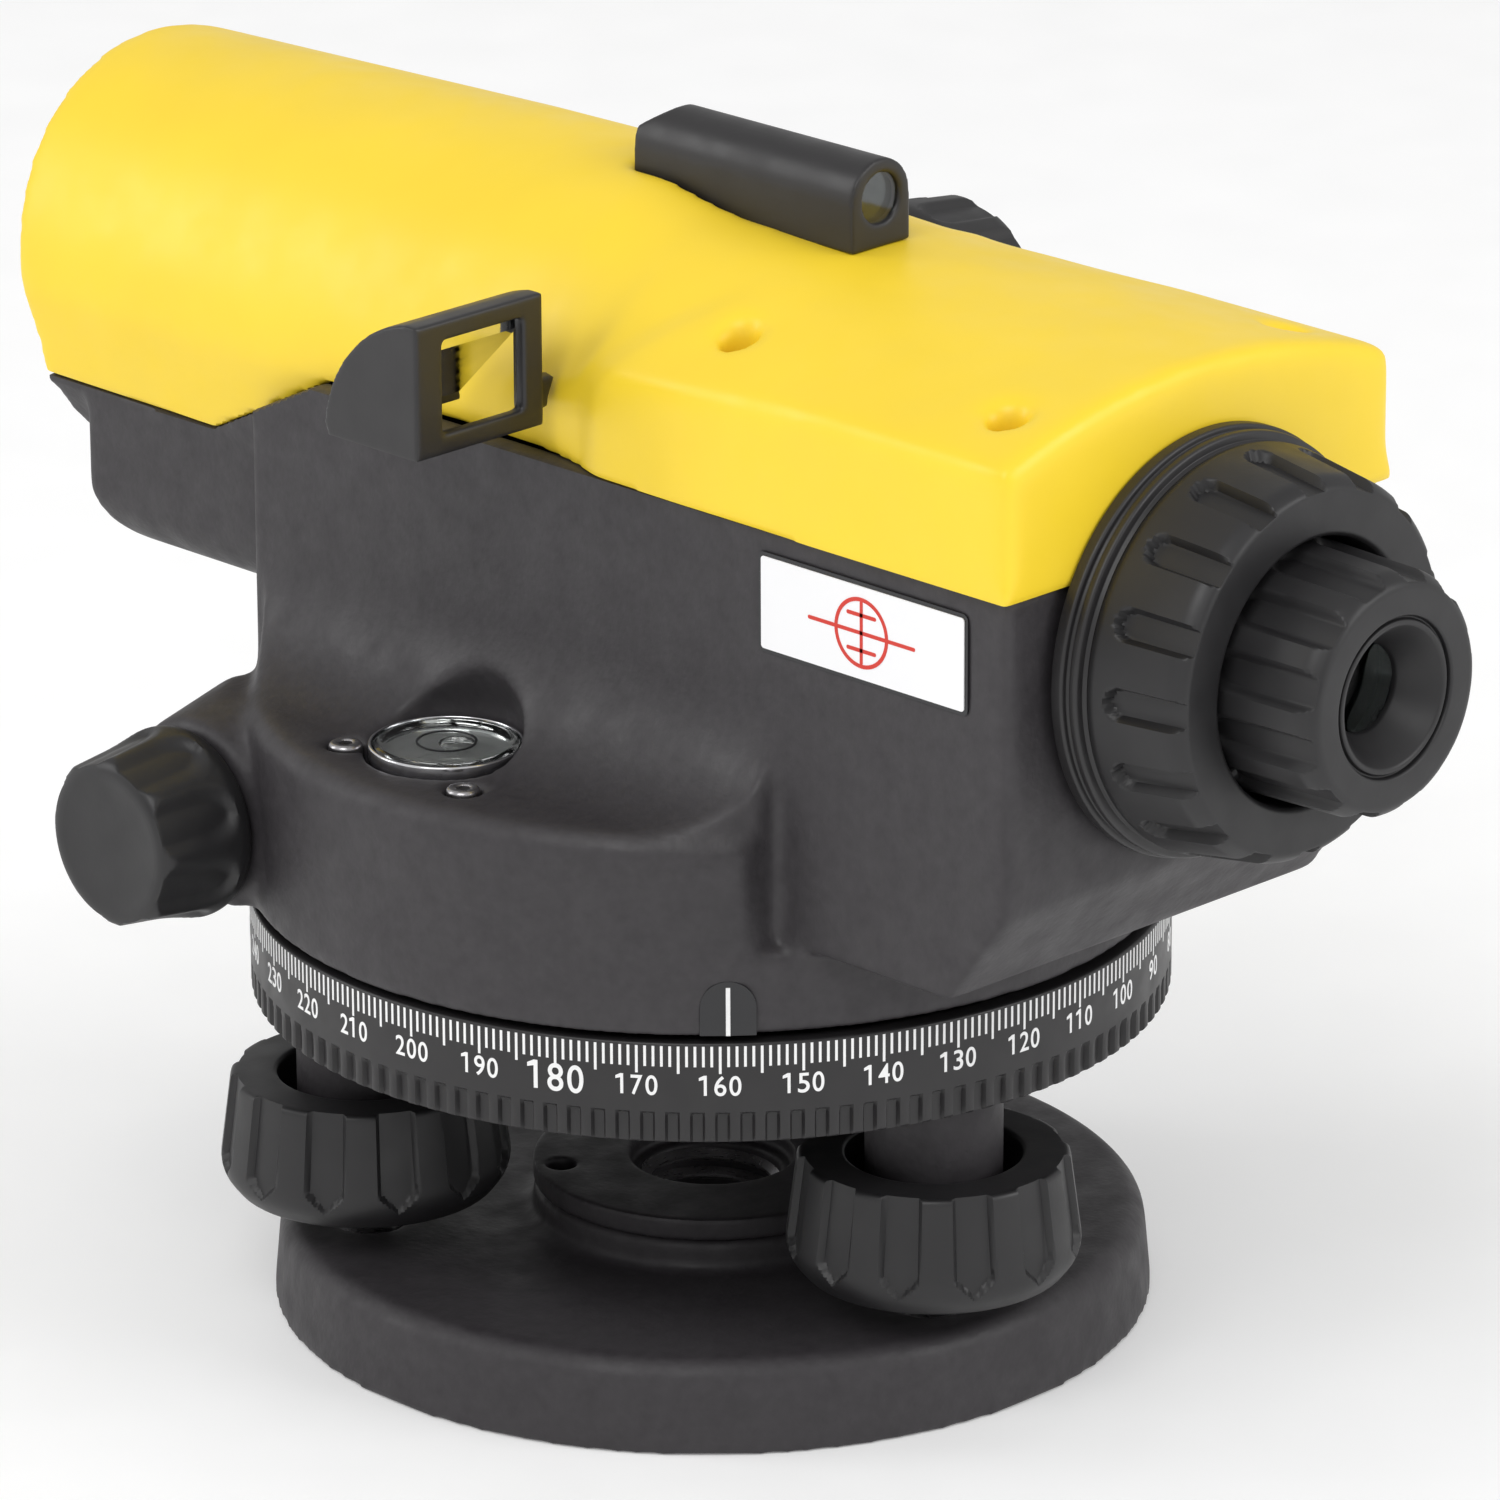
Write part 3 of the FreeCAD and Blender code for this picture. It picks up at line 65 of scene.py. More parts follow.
class Finish:
    """One procedural material, made of a few node calls that end on one shader."""

    def __init__(self, name, **sockets):
        self.material = bpy.data.materials.new(name)
        self.material.use_nodes = True
        self.tree = self.material.node_tree
        self.shader = self.tree.nodes["Principled BSDF"]
        self.place = self.tree.nodes.new("ShaderNodeTexCoord").outputs["Object"]
        for socket, value in sockets.items():
            self.shader.inputs[socket.replace("_", " ")].default_value = value

    def link(self, source, target):
        self.tree.links.new(source, target)

    def noise(self, size, detail=3.0, stretch=(1, 1, 1)):
        """Cloudy noise with blotches about size metres across."""
        mapping = self.tree.nodes.new("ShaderNodeMapping")
        mapping.inputs["Scale"].default_value = stretch
        node = self.tree.nodes.new("ShaderNodeTexNoise")
        node.inputs["Scale"].default_value = 1 / size
        node.inputs["Detail"].default_value = detail
        self.link(self.place, mapping.inputs["Vector"])
        self.link(mapping.outputs["Vector"], node.inputs["Vector"])
        return node.outputs["Fac"]

    def pebbles(self, size):
        """Small rounded cells, as on a textured coat."""
        node = self.tree.nodes.new("ShaderNodeTexVoronoi")
        node.feature = "SMOOTH_F1"
        node.inputs["Scale"].default_value = 1 / size
        self.link(self.place, node.inputs["Vector"])
        return node.outputs["Distance"]

    def colour(self, source, dark, light, socket="Base Color"):
        ramp = self.tree.nodes.new("ShaderNodeValToRGB")
        ramp.color_ramp.elements[0].position = 0.3
        ramp.color_ramp.elements[1].position = 0.7
        ramp.color_ramp.elements[0].color = (*dark, 1)
        ramp.color_ramp.elements[1].color = (*light, 1)
        self.link(source, ramp.inputs["Fac"])
        self.link(ramp.outputs["Color"], self.shader.inputs[socket])

    def rough(self, source, low, high):
        spread = self.tree.nodes.new("ShaderNodeMapRange")
        spread.inputs["From Min"].default_value = 0.3
        spread.inputs["From Max"].default_value = 0.7
        spread.inputs["To Min"].default_value = low
        spread.inputs["To Max"].default_value = high
        self.link(source, spread.inputs["Value"])
        self.link(spread.outputs["Result"], self.shader.inputs["Roughness"])

    def bump(self, *layers):
        """Relief from (height, depth in metres) layers, one over the other."""
        below = None
        for height, depth in layers:
            node = self.tree.nodes.new("ShaderNodeBump")
            node.inputs["Distance"].default_value = depth
            self.link(height, node.inputs["Height"])
            if below:
                self.link(below, node.inputs["Normal"])
            below = node.outputs["Normal"]
        self.link(below, self.shader.inputs["Normal"])


def shade(colour, amount):
    return tuple(min(1.0, c * amount) for c in colour)


def moulded(name, colour, gloss, grain, depth, spread=0.06, **sockets):
    """Coat or moulding: faint clouds of colour, gloss that varies, a fine grain."""
    finish = Finish(name, **sockets)
    finish.colour(finish.noise(0.018), shade(colour, 1 - spread), shade(colour, 1 + spread))
    finish.rough(finish.noise(grain * 9, 2.0), gloss, gloss + 0.12)
    finish.bump((finish.noise(0.012, 1.0), depth * 1.5), (finish.noise(grain, 4.0), depth))
    return finish.material


def powder(name, colour, gloss, grain, depth, **sockets):
    """Textured powder coat over a casting: pebbled grain on a slightly uneven skin."""
    finish = Finish(name, **sockets)
    finish.colour(finish.noise(grain * 2, 5.0), shade(colour, 0.86), shade(colour, 1.14))
    finish.rough(finish.noise(grain * 6, 3.0), gloss, gloss + 0.16)
    finish.bump((finish.noise(0.009, 2.0), depth * 2.5), (finish.pebbles(grain), depth),
                (finish.noise(grain * 0.5, 3.0), depth * 0.6))
    return finish.material


def metal(name, colour, gloss, stretch=(1, 1, 1), **sockets):
    """Machined metal: tool marks along one way, with gloss that follows them."""
    finish = Finish(name, Metallic=1.0, **sockets)
    marks = finish.noise(0.0012, 5.0, stretch)
    finish.colour(finish.noise(0.006), shade(colour, 0.9), shade(colour, 1.06))
    finish.rough(marks, gloss, gloss + 0.14)
    finish.bump((marks, 0.000006))
    return finish.material


def glass(name, tint, gloss, **sockets):
    finish = Finish(name, Transmission_Weight=1.0, **sockets)
    finish.colour(finish.noise(0.01), shade(tint, 0.94), tint)
    finish.rough(finish.noise(0.004), gloss, gloss + 0.03)
    finish.bump((finish.noise(0.008, 1.0), 0.000008))
    return finish.material


FINISH = {
    "base_casting": powder("base_casting", (0.026, 0.023, 0.026), 0.5, 0.0007, 0.00003),
    "housing_casting": powder("housing_casting", (0.03, 0.027, 0.03), 0.46, 0.0007, 0.00003),
    "yellow_cover": moulded("yellow_cover", (0.93, 0.66, 0.03), 0.36, 0.0006, 0.000006,
                            0.025, Specular_IOR_Level=0.45),
    "black_plastic": moulded("black_plastic", (0.016, 0.015, 0.016), 0.36, 0.0005, 0.00001),
    "black_rubber": moulded("black_rubber", (0.012, 0.0115, 0.0125), 0.4, 0.0006, 0.000012),
    "steel": metal("steel", (0.42, 0.41, 0.42), 0.24, (1, 1, 6)),
    "spring_steel": metal("spring_steel", (0.3, 0.3, 0.32), 0.3),
    "brass": metal("brass", (0.66, 0.46, 0.2), 0.26, (1, 6, 1)),
    "bronze": metal("bronze", (0.5, 0.32, 0.16), 0.3),
    "aluminium": metal("aluminium", (0.7, 0.7, 0.72), 0.28, (1, 5, 1)),
    "black_aluminium": metal("black_aluminium", (0.035, 0.035, 0.038), 0.34, (1, 6, 1)),
    "circle_black": moulded("circle_black", (0.016, 0.015, 0.016), 0.38, 0.0004, 0.000006),
    "trapped_air": glass("trapped_air", (0.98, 0.99, 0.98), 0.02, IOR=0.72),
    "chrome": metal("chrome", (0.78, 0.78, 0.8), 0.1),
    "optical_glass": glass("optical_glass", (0.86, 0.95, 0.93), 0.02, IOR=1.6),
    "vial_glass": glass("vial_glass", (0.93, 0.96, 0.94), 0.03, IOR=1.46),
    "mirror_glass": metal("mirror_glass", (0.86, 0.87, 0.88), 0.02),
    "index_print": moulded("index_print", (0.016, 0.016, 0.018), 0.3, 0.0004, 0.000006),
    "label_print": moulded("label_print", (0.86, 0.86, 0.87), 0.3, 0.0005, 0.000004, 0.015),
    "vial_grey": moulded("vial_grey", (0.42, 0.41, 0.42), 0.45, 0.0004, 0.000006),
    "magnet": metal("magnet", (0.35, 0.35, 0.37), 0.3),
    "white_print": moulded("white_print", (0.86, 0.86, 0.86), 0.4, 0.0003, 0.000004, 0.03),
    "red_print": moulded("red_print", (0.62, 0.03, 0.015), 0.35, 0.0003, 0.000004, 0.03),
}


# ---------------------------------------------------------------- mesh tools

def mesh_of(name, points, faces):
    """A clean mesh from millimetre points: doubles merged and normals outward."""
    shape = bmesh.new()
    places = [shape.verts.new(Vector(p) * MM) for p in np.asarray(points, float)]
    for face in faces:
        shape.faces.new([places[i] for i in face])
    bmesh.ops.remove_doubles(shape, verts=shape.verts, dist=1e-7)
    bmesh.ops.recalc_face_normals(shape, faces=shape.faces)
    mesh = bpy.data.meshes.new(name)
    shape.to_mesh(mesh)
    shape.free()
    return mesh


def smooth_shaded(mesh, crease=math.radians(35)):
    mesh.shade_smooth()
    mesh.set_sharp_from_angle(angle=crease)


def piece(name, mesh, body, slot, *stands_for, finish=None):
    """A finished piece: it rides on a body and may stand for CAD nodes."""
    smooth_shaded(mesh)
    mesh.materials.clear()
    mesh.materials.append(FINISH[finish or slot])
    obj = bpy.data.objects.new(name, mesh)
    bpy.context.scene.collection.objects.link(obj)
    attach(obj, body)
    if stands_for:
        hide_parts(*stands_for)
    return obj


def outline(corners, step=1.0, beyond=0.0, bends=6):
    """(r, h) or (r, h, rounding) corners as a fine section with rounded corners.

    Runs nearer to the axis than beyond are left coarse.
    """
    places = [np.array(c[:2], float) for c in corners]
    ring = corners[0][0] > 0
    fine = []
    for i, here in enumerate(places):
        rounding = corners[i][2] if len(corners[i]) > 2 else 0.0
        if not rounding or (not ring and i in (0, len(places) - 1)):
            fine.append(here)
            continue
        before = places[i - 1] - here
        after = places[(i + 1) % len(places)] - here
        reach = min(rounding, 0.49 * np.linalg.norm(before), 0.49 * np.linalg.norm(after))
        start = here + before / np.linalg.norm(before) * reach
        end = here + after / np.linalg.norm(after) * reach
        for t in np.linspace(0, 1, bends):
            fine.append((1 - t) ** 2 * start + 2 * t * (1 - t) * here + t ** 2 * end)
    return divided(fine + fine[:1] if ring else fine, step, beyond)


def divided(points, step, beyond=0.0):
    """The same line with no run longer than step, or six times that near the axis."""
    out = [points[0]]
    for a, b in zip(points, points[1:]):
        longest = step if min(a[0], b[0]) >= beyond else 6 * step
        count = max(1, math.ceil(np.linalg.norm(b - a) / longest))
        out += [a + (b - a) * k / count for k in range(1, count + 1)]
    return np.array(out)


def turned(name, section, around=160, cut=None, axis="z", at=(0, 0, 0)):
    """A solid of revolution. cut(r, h, angle) may move its points in or out."""
    angle = np.linspace(0, TAU, around, endpoint=False)[None, :]
    r = np.repeat(section[:, :1], around, 1)
    h = np.repeat(section[:, 1:], around, 1)
    if cut:
        r, h = cut(r, h, angle)
    grid = np.stack([r * np.cos(angle), r * np.sin(angle), h], -1).reshape(-1, 3)
    points = grid[:, AXIS_ORDER[axis]] + np.array(at, float)
    faces = []
    for row in range(len(section) - 1):
        for k in range(around):
            nxt = (k + 1) % around
            low, high = row * around, (row + 1) * around
            faces.append((low + k, low + nxt, high + nxt, high + k))
    return mesh_of(name, points, faces)


def ease(t):
    t = np.clip(t, 0, 1)
    return t * t * (3 - 2 * t)


def flutes(count, width, depth, flank, end, tip, edge=0.7, phase=0.0, pointed=False):
    """Finger grooves along a turned flank, closed at height end and open past it.

    flank is ((h1, r1), (h2, r2)), tip the length over which the closed end tapers,
    and the sign of tip says which way the groove runs.
    """
    (h1, r1), (h2, r2) = flank

    def cut(r, h, angle):
        side = np.interp(h, *zip(*sorted([(h1, r1), (h2, r2)])))
        turn = (angle * count / TAU + phase) % 1 - 0.5
        across = np.abs(turn) * TAU / count * side
        t = np.clip((h - end) / tip, 0, 1)
        half = width / 2 * (t if pointed else np.sqrt(1 - (1 - t) ** 2))
        sunk = ease((half - across) / edge + 0.5) * (t > 0)
        return np.minimum(r, side + 1e3 * (sunk <= 0) - depth * sunk), h

    return cut


def joined(name, meshes):
    """Several meshes as one."""
    shape = bmesh.new()
    for mesh in meshes:
        shape.from_mesh(mesh)
    out = bpy.data.meshes.new(name)
    shape.to_mesh(out)
    shape.free()
    return out


def baked(mesh, kind, **settings):
    """The mesh after one modifier."""
    obj = bpy.data.objects.new("work", mesh)
    bpy.context.scene.collection.objects.link(obj)
    modifier = obj.modifiers.new("work", kind)
    for key, value in settings.items():
        setattr(modifier, key, value)
    view = bpy.context.evaluated_depsgraph_get()
    result = bpy.data.meshes.new_from_object(obj.evaluated_get(view))
    bpy.data.objects.remove(obj)
    return result


def read_points(mesh):
    points = np.zeros(len(mesh.vertices) * 3, np.float32)
    mesh.vertices.foreach_get("co", points)
    return points.reshape(-1, 3).astype(float)


def write_points(mesh, points):
    mesh.vertices.foreach_set("co", points.astype(np.float32).ravel())
    mesh.update()


def relaxed(points, mesh, passes, share):
    """Each point drawn towards its neighbours, pass after pass."""
    ends = np.zeros(len(mesh.edges) * 2, np.int32)
    mesh.edges.foreach_get("vertices", ends)
    a, b = ends.reshape(-1, 2).T
    count = np.bincount(np.concatenate([a, b]), minlength=len(points))[:, None]
    for _ in range(passes):
        total = np.stack([np.bincount(a, points[b, k], len(points))
                          + np.bincount(b, points[a, k], len(points)) for k in range(3)], 1)
        points = points + share * 0.5 * (total / count - points)
    return points


def eased(name, nodes, voxel, passes, share=None, sculpt=None, keep=1.0):
    """CAD solids remeshed finely, with their edges eased as by casting or moulding."""
    copies = [NODES[n].data.copy() for n in nodes]
    mesh = baked(joined(name, copies), "REMESH", mode="VOXEL", voxel_size=voxel * MM * COARSE)
    points = read_points(mesh)
    weight = share(points / MM)[:, None] if share else 1.0
    points = relaxed(points, mesh, max(1, round(passes / COARSE ** 2)), weight)
    boxes = np.array([[list(c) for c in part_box(n)] for n in nodes])
    write_points(mesh, np.clip(points, boxes[:, 0].min(0), boxes[:, 1].max(0)))
    if sculpt:
        write_points(mesh, sculpt(points / MM) * MM)
    if keep < 1:
        mesh = baked(mesh, "DECIMATE", ratio=keep)
    mesh.name = name
    return mesh


# ---------------------------------------------------------------- castings and mouldings

def over_parting(y, z):
    """Height over the joint between housing and cover."""
    return z - np.interp(y, [34.0, 57.0], [107.6, 96.4])


def cover_share(p):
    """The cover's edges are soft behind and on top, crisp at the joint and the mouth."""
    x, y, z = p.T
    upper = 0.06 + ease((over_parting(y, z) - 0.8) / 4.0)
    return np.clip(upper, 0, 1) * (0.45 + 0.55 * ease((-10.0 - y) / 25.0))


def cover_folds(p):
    """Behind the mirror the sides step in, along a fold that leans back on top."""
    x, y, z = p.T
    lean = np.clip((z - 114.0) / 14.0, 0, 1)
    fold = -12.5 - 12.0 * lean ** 2
    step = ease((y - fold) / 4.5) * ease((30.0 - y) / 26.0) * 0.8 - 0.35 * ease((fold + 3.0 - y) / 5.0)
    step = step * ease((np.abs(x) - 10.0) / 14.0) * ease((over_parting(y, z) + 2.0) / 2.0)
    return np.stack([x - np.sign(x) * step, y, z], 1)


def cover():
    mesh = eased("cover_shell", ["top_cover"], 0.55, 34, cover_share, cover_folds, keep=0.5)
    piece("cover_shell", mesh, "alidade", "yellow_cover", "top_cover")


def body_share(p):
    """The housing's edges are soft, but for the one along the joint."""
    x, y, z = p.T
    return np.clip(0.05 + ease((-over_parting(y, z) - 0.5) / 2.5), 0, 1)


def castings():
    body = eased("body_casting", ["housing"], 0.6, 9, body_share, keep=0.35)
    piece("body_casting", body, "alidade", "housing_casting", "housing")
    plate = eased("base_casting", ["base_plate"], 0.6, 9, keep=0.5)
    piece("base_casting", plate, "base", "base_casting", "base_plate")
    head = eased("head_casting", ["levelling_head"], 0.5, 5, keep=0.4)
    piece("head_casting", head, "head", "base_casting", "levelling_head")
    bush = eased("bush_casting", ["tripod_thread_bush"], 0.3, 4, keep=0.5)
    piece("bush_casting", bush, "base", "base_casting", "tripod_thread_bush")
    sight = eased("sight_case", ["sight_body"], 0.25, 5)
    piece("sight_case", sight, "alidade", "black_plastic", "sight_body")
    mirror = eased("mirror_case", ["mirror_housing"], 0.28, 6)
    piece("mirror_case", mirror, "alidade", "black_plastic", "mirror_housing")


# ---------------------------------------------------------------- turned grips

def middle(node):
    low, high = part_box(node)
    return (low + high) / 2 / MM


def foot_grips():
    for letter in "abc":
        node = f"foot_knob_{letter}"
        low, high = (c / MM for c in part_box(node))
        at = (low + high) / 2
        section = outline([(3.6, low.z), (14.6, low.z, 0.8), (16.8, low.z + 2.8, 3.0),
                           (15.3, high.z, 0.7), (10.0, high.z, 0.5),
                           (10.0, high.z - 8.4, 0.4), (3.6, high.z - 8.4)], 0.35)
        grooves = flutes(12, 4.3, 0.7, ((low.z, 17.0), (high.z, 15.3)), low.z + 2.4, 2.2,
                         edge=0.4, phase=0.49, pointed=True)
        mesh = turned(f"foot_grip_{letter}", section, 12 * 36, grooves, at=(at.x, at.y, 0))
        piece(f"foot_grip_{letter}", mesh, f"screw_{letter}", "black_rubber", node)


def drive_grips():
    """A soft-lobed rubber knob on each end of the horizontal drive's shaft."""
    low, high = (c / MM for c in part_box("drive_knobs"))
    length = DRIVE_LENGTH
    for side, name in ((-1, "left"), (1, "right")):
        end = low.x if side < 0 else high.x
        root = end - side * length
        section = outline([(3.05, root), (10.6, root, 0.8), (11.2, root + side * 1.6, 1.5),
                           (9.9, end, 2.4), (5.5, end - side * 0.5, 3.0), (0, end - side * 0.6)]
                          if side > 0 else
                          [(3.05, root), (10.6, root, 0.8), (11.2, root - 1.6, 1.5),
                           (9.9, end, 2.4), (5.5, end + 0.5, 3.0), (0, end + 0.6)], 0.4, 6)
        section = np.vstack([[0, root], section])
        grooves = flutes(8, 5.6, 0.75, ((root, 11.3), (end, 9.9)), root + side * 2.4,
                         side * 4.0, edge=2.6)
        mesh = turned(f"drive_grip_{name}", section, 240, grooves, "x", (0, *middle("drive_knobs")[1:]))
        piece(f"drive_grip_{name}", mesh, "drive", "black_rubber", "drive_knobs")


def focus_grip():
    low, high = (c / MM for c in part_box("focus_knob"))
    centre = middle("focus_knob")
    section = outline([(2.55, low.x), (13.4, low.x, 1.0), (14.3, low.x + 1.6, 1.2),
                       (12.9, high.x, 2.2), (6.5, high.x - 0.5, 3), (0, high.x - 0.6)], 0.45, 9)
    section = np.vstack([[0, low.x], section])
    grooves = flutes(12, 4.0, 0.9, ((low.x, 14.4), (high.x, 12.9)), low.x + 2.2, 3.0, edge=1.2)
    mesh = turned("focus_grip", section, 12 * 26, grooves, "x", (0, centre.y, centre.z))
    piece("focus_grip", mesh, "focus_drive", "black_rubber", "focus_knob")


def eyepiece_end():
    """Stepped collar, fluted ring over the reticle, and the eyepiece with its knob."""
    axis = (0, 0, middle("eyepiece_knob").z)
    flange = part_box("eyepiece_collar")[1].y / MM - 19.2
    front, back = (c.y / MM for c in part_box("reticle_cover"))
    collar = outline([(9.46, flange + 19.2), (12.4, flange + 19.2), (12.4, flange + 0.1),
                      (24.0, flange, 0.2), (24.0, back + 2.3, 0.7), (23.3, back + 2.2, 0.15),
                      (23.1, back + 1.7, 0.15), (23.6, back + 1.6, 0.3), (23.6, back + 0.6, 0.4),
                      (22.6, back + 0.5, 0.1), (22.4, back + 0.05), (12.4, back + 0.05),
                      (12.4, -81.2), (9.46, -81.2)], 0.6, 22)
    piece("eyepiece_flange", turned("eyepiece_flange", collar, 256, axis="y", at=axis),
          "alidade", "black_aluminium", "eyepiece_collar", finish="black_plastic")
    ring = outline([(14.9, back), (22.5, back, 0.3), (22.8, back - 0.9, 0.4),
                    (21.3, front + 1.3, 0.9), (20.2, front, 0.5), (15.3, front, 0.4),
                    (14.9, front + 0.5, 0.2)], 0.35, 19)
    grooves = flutes(16, 3.3, 1.15, ((back, 22.95), (front, 21.15)), back - 2.6, -1.65,
                     edge=0.55, phase=0.5)
    mesh = turned("ring_grip", ring, 16 * 36, grooves, "y", axis)
    piece("ring_grip", mesh, "alidade", "black_rubber", "reticle_cover")
    eye_knob(axis)


def eye_knob(axis):
    end, start = (c.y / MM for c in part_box("eyepiece_knob"))
    section = outline([(9.46, start), (13.4, start, 0.5), (14.2, start - 1.0, 0.6),
                       (13.7, end + 1.6, 1.2), (12.4, end, 0.7), (9.0, end, 0.3),
                       (8.85, end + 0.7, 0.15), (8.6, end + 0.7, 0.15), (8.45, end + 0.15, 0.25),
                       (7.9, end + 0.2, 0.3), (5.0, end + 4.4, 0.6), (4.9, end + 4.9),
                       (9.46, end + 4.9)], 0.35, 12)
    grooves = flutes(12, 3.8, 0.95, ((start, 14.25), (end, 13.5)), start - 4.6, -2.6, edge=0.9)
    mesh = turned("eyepiece_grip", section, 12 * 30, grooves, "y", axis)
    piece("eyepiece_grip", mesh, "eyepiece_ring", "black_rubber", "eyepiece_knob")


# ---------------------------------------------------------------- horizontal circle

CIRCLE_R = 52.7
CIRCLE_TURN = 26.24     # the angle at which the circle reads zero


def on_circle(points, radius, lift=0.0):
    """Flat points, in millimetres along the rim, up and out, wrapped on the rim."""
    s, z, out = np.asarray(points, float).T
    angle = s / radius
    r = radius + out + lift
    return np.stack([r * np.cos(angle), r * np.sin(angle), z], 1)


def plaque(outline_points, radius, low_out, high_out):
    """A thin raised mark on the rim, from a closed convex outline of (s, z) points."""
    n = len(outline_points)
    flat = [(s, z, out) for out in (low_out, high_out) for s, z in outline_points]
    faces = [tuple(range(n, 2 * n)), tuple(reversed(range(n)))]
    faces += [(i, (i + 1) % n, n + (i + 1) % n, n + i) for i in range(n)]
    return on_circle(flat, radius), faces


def marks(name, outlines, radius, low_out, high_out):
    """One mesh of many small raised marks."""
    points, faces = [], []
    for shape in outlines:
        more, sides = plaque(shape, radius, low_out, high_out)
        faces += [tuple(len(points) + i for i in side) for side in sides]
        points += list(more)
    return mesh_of(name, points, faces)


def dial():
    low, high = (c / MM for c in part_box("circle_ring"))
    base, top = low.z, high.z
    hub = 22.1
    section = outline([(50.4, base), (52.3, base, 0.2), (CIRCLE_R, base + 0.4, 0.2),
                       (CIRCLE_R, top, 0.35), (50.4, top, 0.2), (50.4, base + 8.9),
                       (hub, base + 8.9), (hub, base + 6.9), (50.4, base + 6.9)], 0.4, 52.0, 4)
    notches = flutes(120, 1.5, 0.62, ((base, CIRCLE_R), (top, CIRCLE_R)), base + 3.6, -0.75,
                     edge=0.32)
    piece("circle_rim", turned("circle_rim", section, 1200, notches), "circle", "circle_black",
          "circle_ring")
    ticks = []
    for degree in range(360):
        s = math.radians(CIRCLE_TURN - degree) * CIRCLE_R
        length = 3.2 if degree % 5 == 0 else 2.4
        half = 0.15
        edge = top - 0.35
        ticks.append([(s - half, edge), (s - half, edge - length),
                      (s + half, edge - length), (s + half, edge)])
    mesh = marks("circle_ticks", ticks, CIRCLE_R, -0.05, 0.03)
    piece("circle_ticks", mesh, "circle", "circle_black", finish="white_print")
    numerals(base + 5.7)


def numerals(base):
    """A figure at each ten degrees, larger at 180."""
    meshes, ones = [], []
    for degree in range(0, 360, 10):
        tall = 3.3 if degree == 180 else 2.35
        low = base - (0.4 if degree == 180 else 0)
        figure = str(degree)
        for i, digit in enumerate(figure):
            s = math.radians(CIRCLE_TURN - degree) * CIRCLE_R
            s += (i - (len(figure) - 1) / 2) * 0.7 * tall
            if digit == "1":
                ones += figure_one(s, low, tall)
            else:
                meshes.append(figure_mesh(digit, s, low, tall))
    meshes.append(marks("ones", ones, CIRCLE_R, -0.05, 0.04))
    piece("circle_figures", joined("circle_figures", meshes), "circle", "circle_black",
          finish="white_print")


def figure_one(s, low, tall):
    """The figure 1 as a stem and a short flag."""
    half, top = 0.07 * tall, low + tall
    stem = [(s - half, low), (s + half, low), (s + half, top), (s - half, top)]
    flag = [(s - 0.3 * tall, top - 0.26 * tall), (s - half, top - 0.2 * tall),
            (s - half, top), (s - 0.3 * tall, top - 0.12 * tall)]
    return [stem, flag]


def figure_mesh(digit, s, low, tall):
    """One printed digit, centred at s along the rim."""
    text = bpy.data.curves.new("figure", "FONT")
    text.body = digit
    text.size = tall / 0.72
    text.offset = 0.012 * tall
    text.extrude = 0.04
    obj = bpy.data.objects.new("figure", text)
    bpy.context.scene.collection.objects.link(obj)
    view = bpy.context.evaluated_depsgraph_get()
    mesh = bpy.data.meshes.new_from_object(obj.evaluated_get(view))
    bpy.data.objects.remove(obj)
    flat = read_points(mesh)
    left, right = flat[:, 0].min(), flat[:, 0].max()
    across = (flat[:, 0] - (left + right) / 2) * min(1.0, 0.56 * tall / (right - left))
    shape = np.stack([s + across, low + flat[:, 1], flat[:, 2]], 1)
    write_points(mesh, on_circle(shape, CIRCLE_R) * MM)
    return mesh


# ---------------------------------------------------------------- small parts

INDEX_ANGLE = math.radians(-132.8)


def index_mark():
    """The arched insert over the circle, with its white line."""
    low, high = (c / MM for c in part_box("index_plate"))
    radius = 52.55
    s, half, bottom, top = INDEX_ANGLE * radius, 3.1, low.z + 0.1, high.z
    bend = [(s + half * math.cos(a), top - half + half * math.sin(a))
            for a in np.linspace(0, math.pi, 24)]
    arch = [(s - half, bottom), *[(s + x, bottom) for x in (-1.5, 0, 1.5)], (s + half, bottom), *bend]
    mesh = marks("index_insert", [arch], radius, -1.2, 0.14)
    piece("index_insert", mesh, "alidade", "index_print", "index_plate")
    line = [(s - 0.24, bottom), (s + 0.24, bottom), (s + 0.24, top - 0.7), (s - 0.24, top - 0.7)]
    mesh = marks("index_line", [line], radius, 0.0, 0.2)
    piece("index_line", mesh, "alidade", "index_print", finish="white_print")


def slab(name, place, half_y, half_z, corner, x_low, x_high):
    """A thin rounded rectangle that faces along -X."""
    points = []
    for cy, cz, start in ((1, 1, 0), (-1, 1, 0.25), (-1, -1, 0.5), (1, -1, 0.75)):
        for t in np.linspace(start, start + 0.25, 7):
            points.append((place[1] + cy * (half_y - corner) + corner * math.cos(t * TAU),
                           place[2] + cz * (half_z - corner) + corner * math.sin(t * TAU)))
    n = len(points)
    solid = [(x, y, z) for x in (x_low, x_high) for y, z in points]
    faces = [tuple(range(n)), tuple(range(n, 2 * n))]
    faces += [(i, (i + 1) % n, n + (i + 1) % n, n + i) for i in range(n)]
    return mesh_of(name, solid, faces)


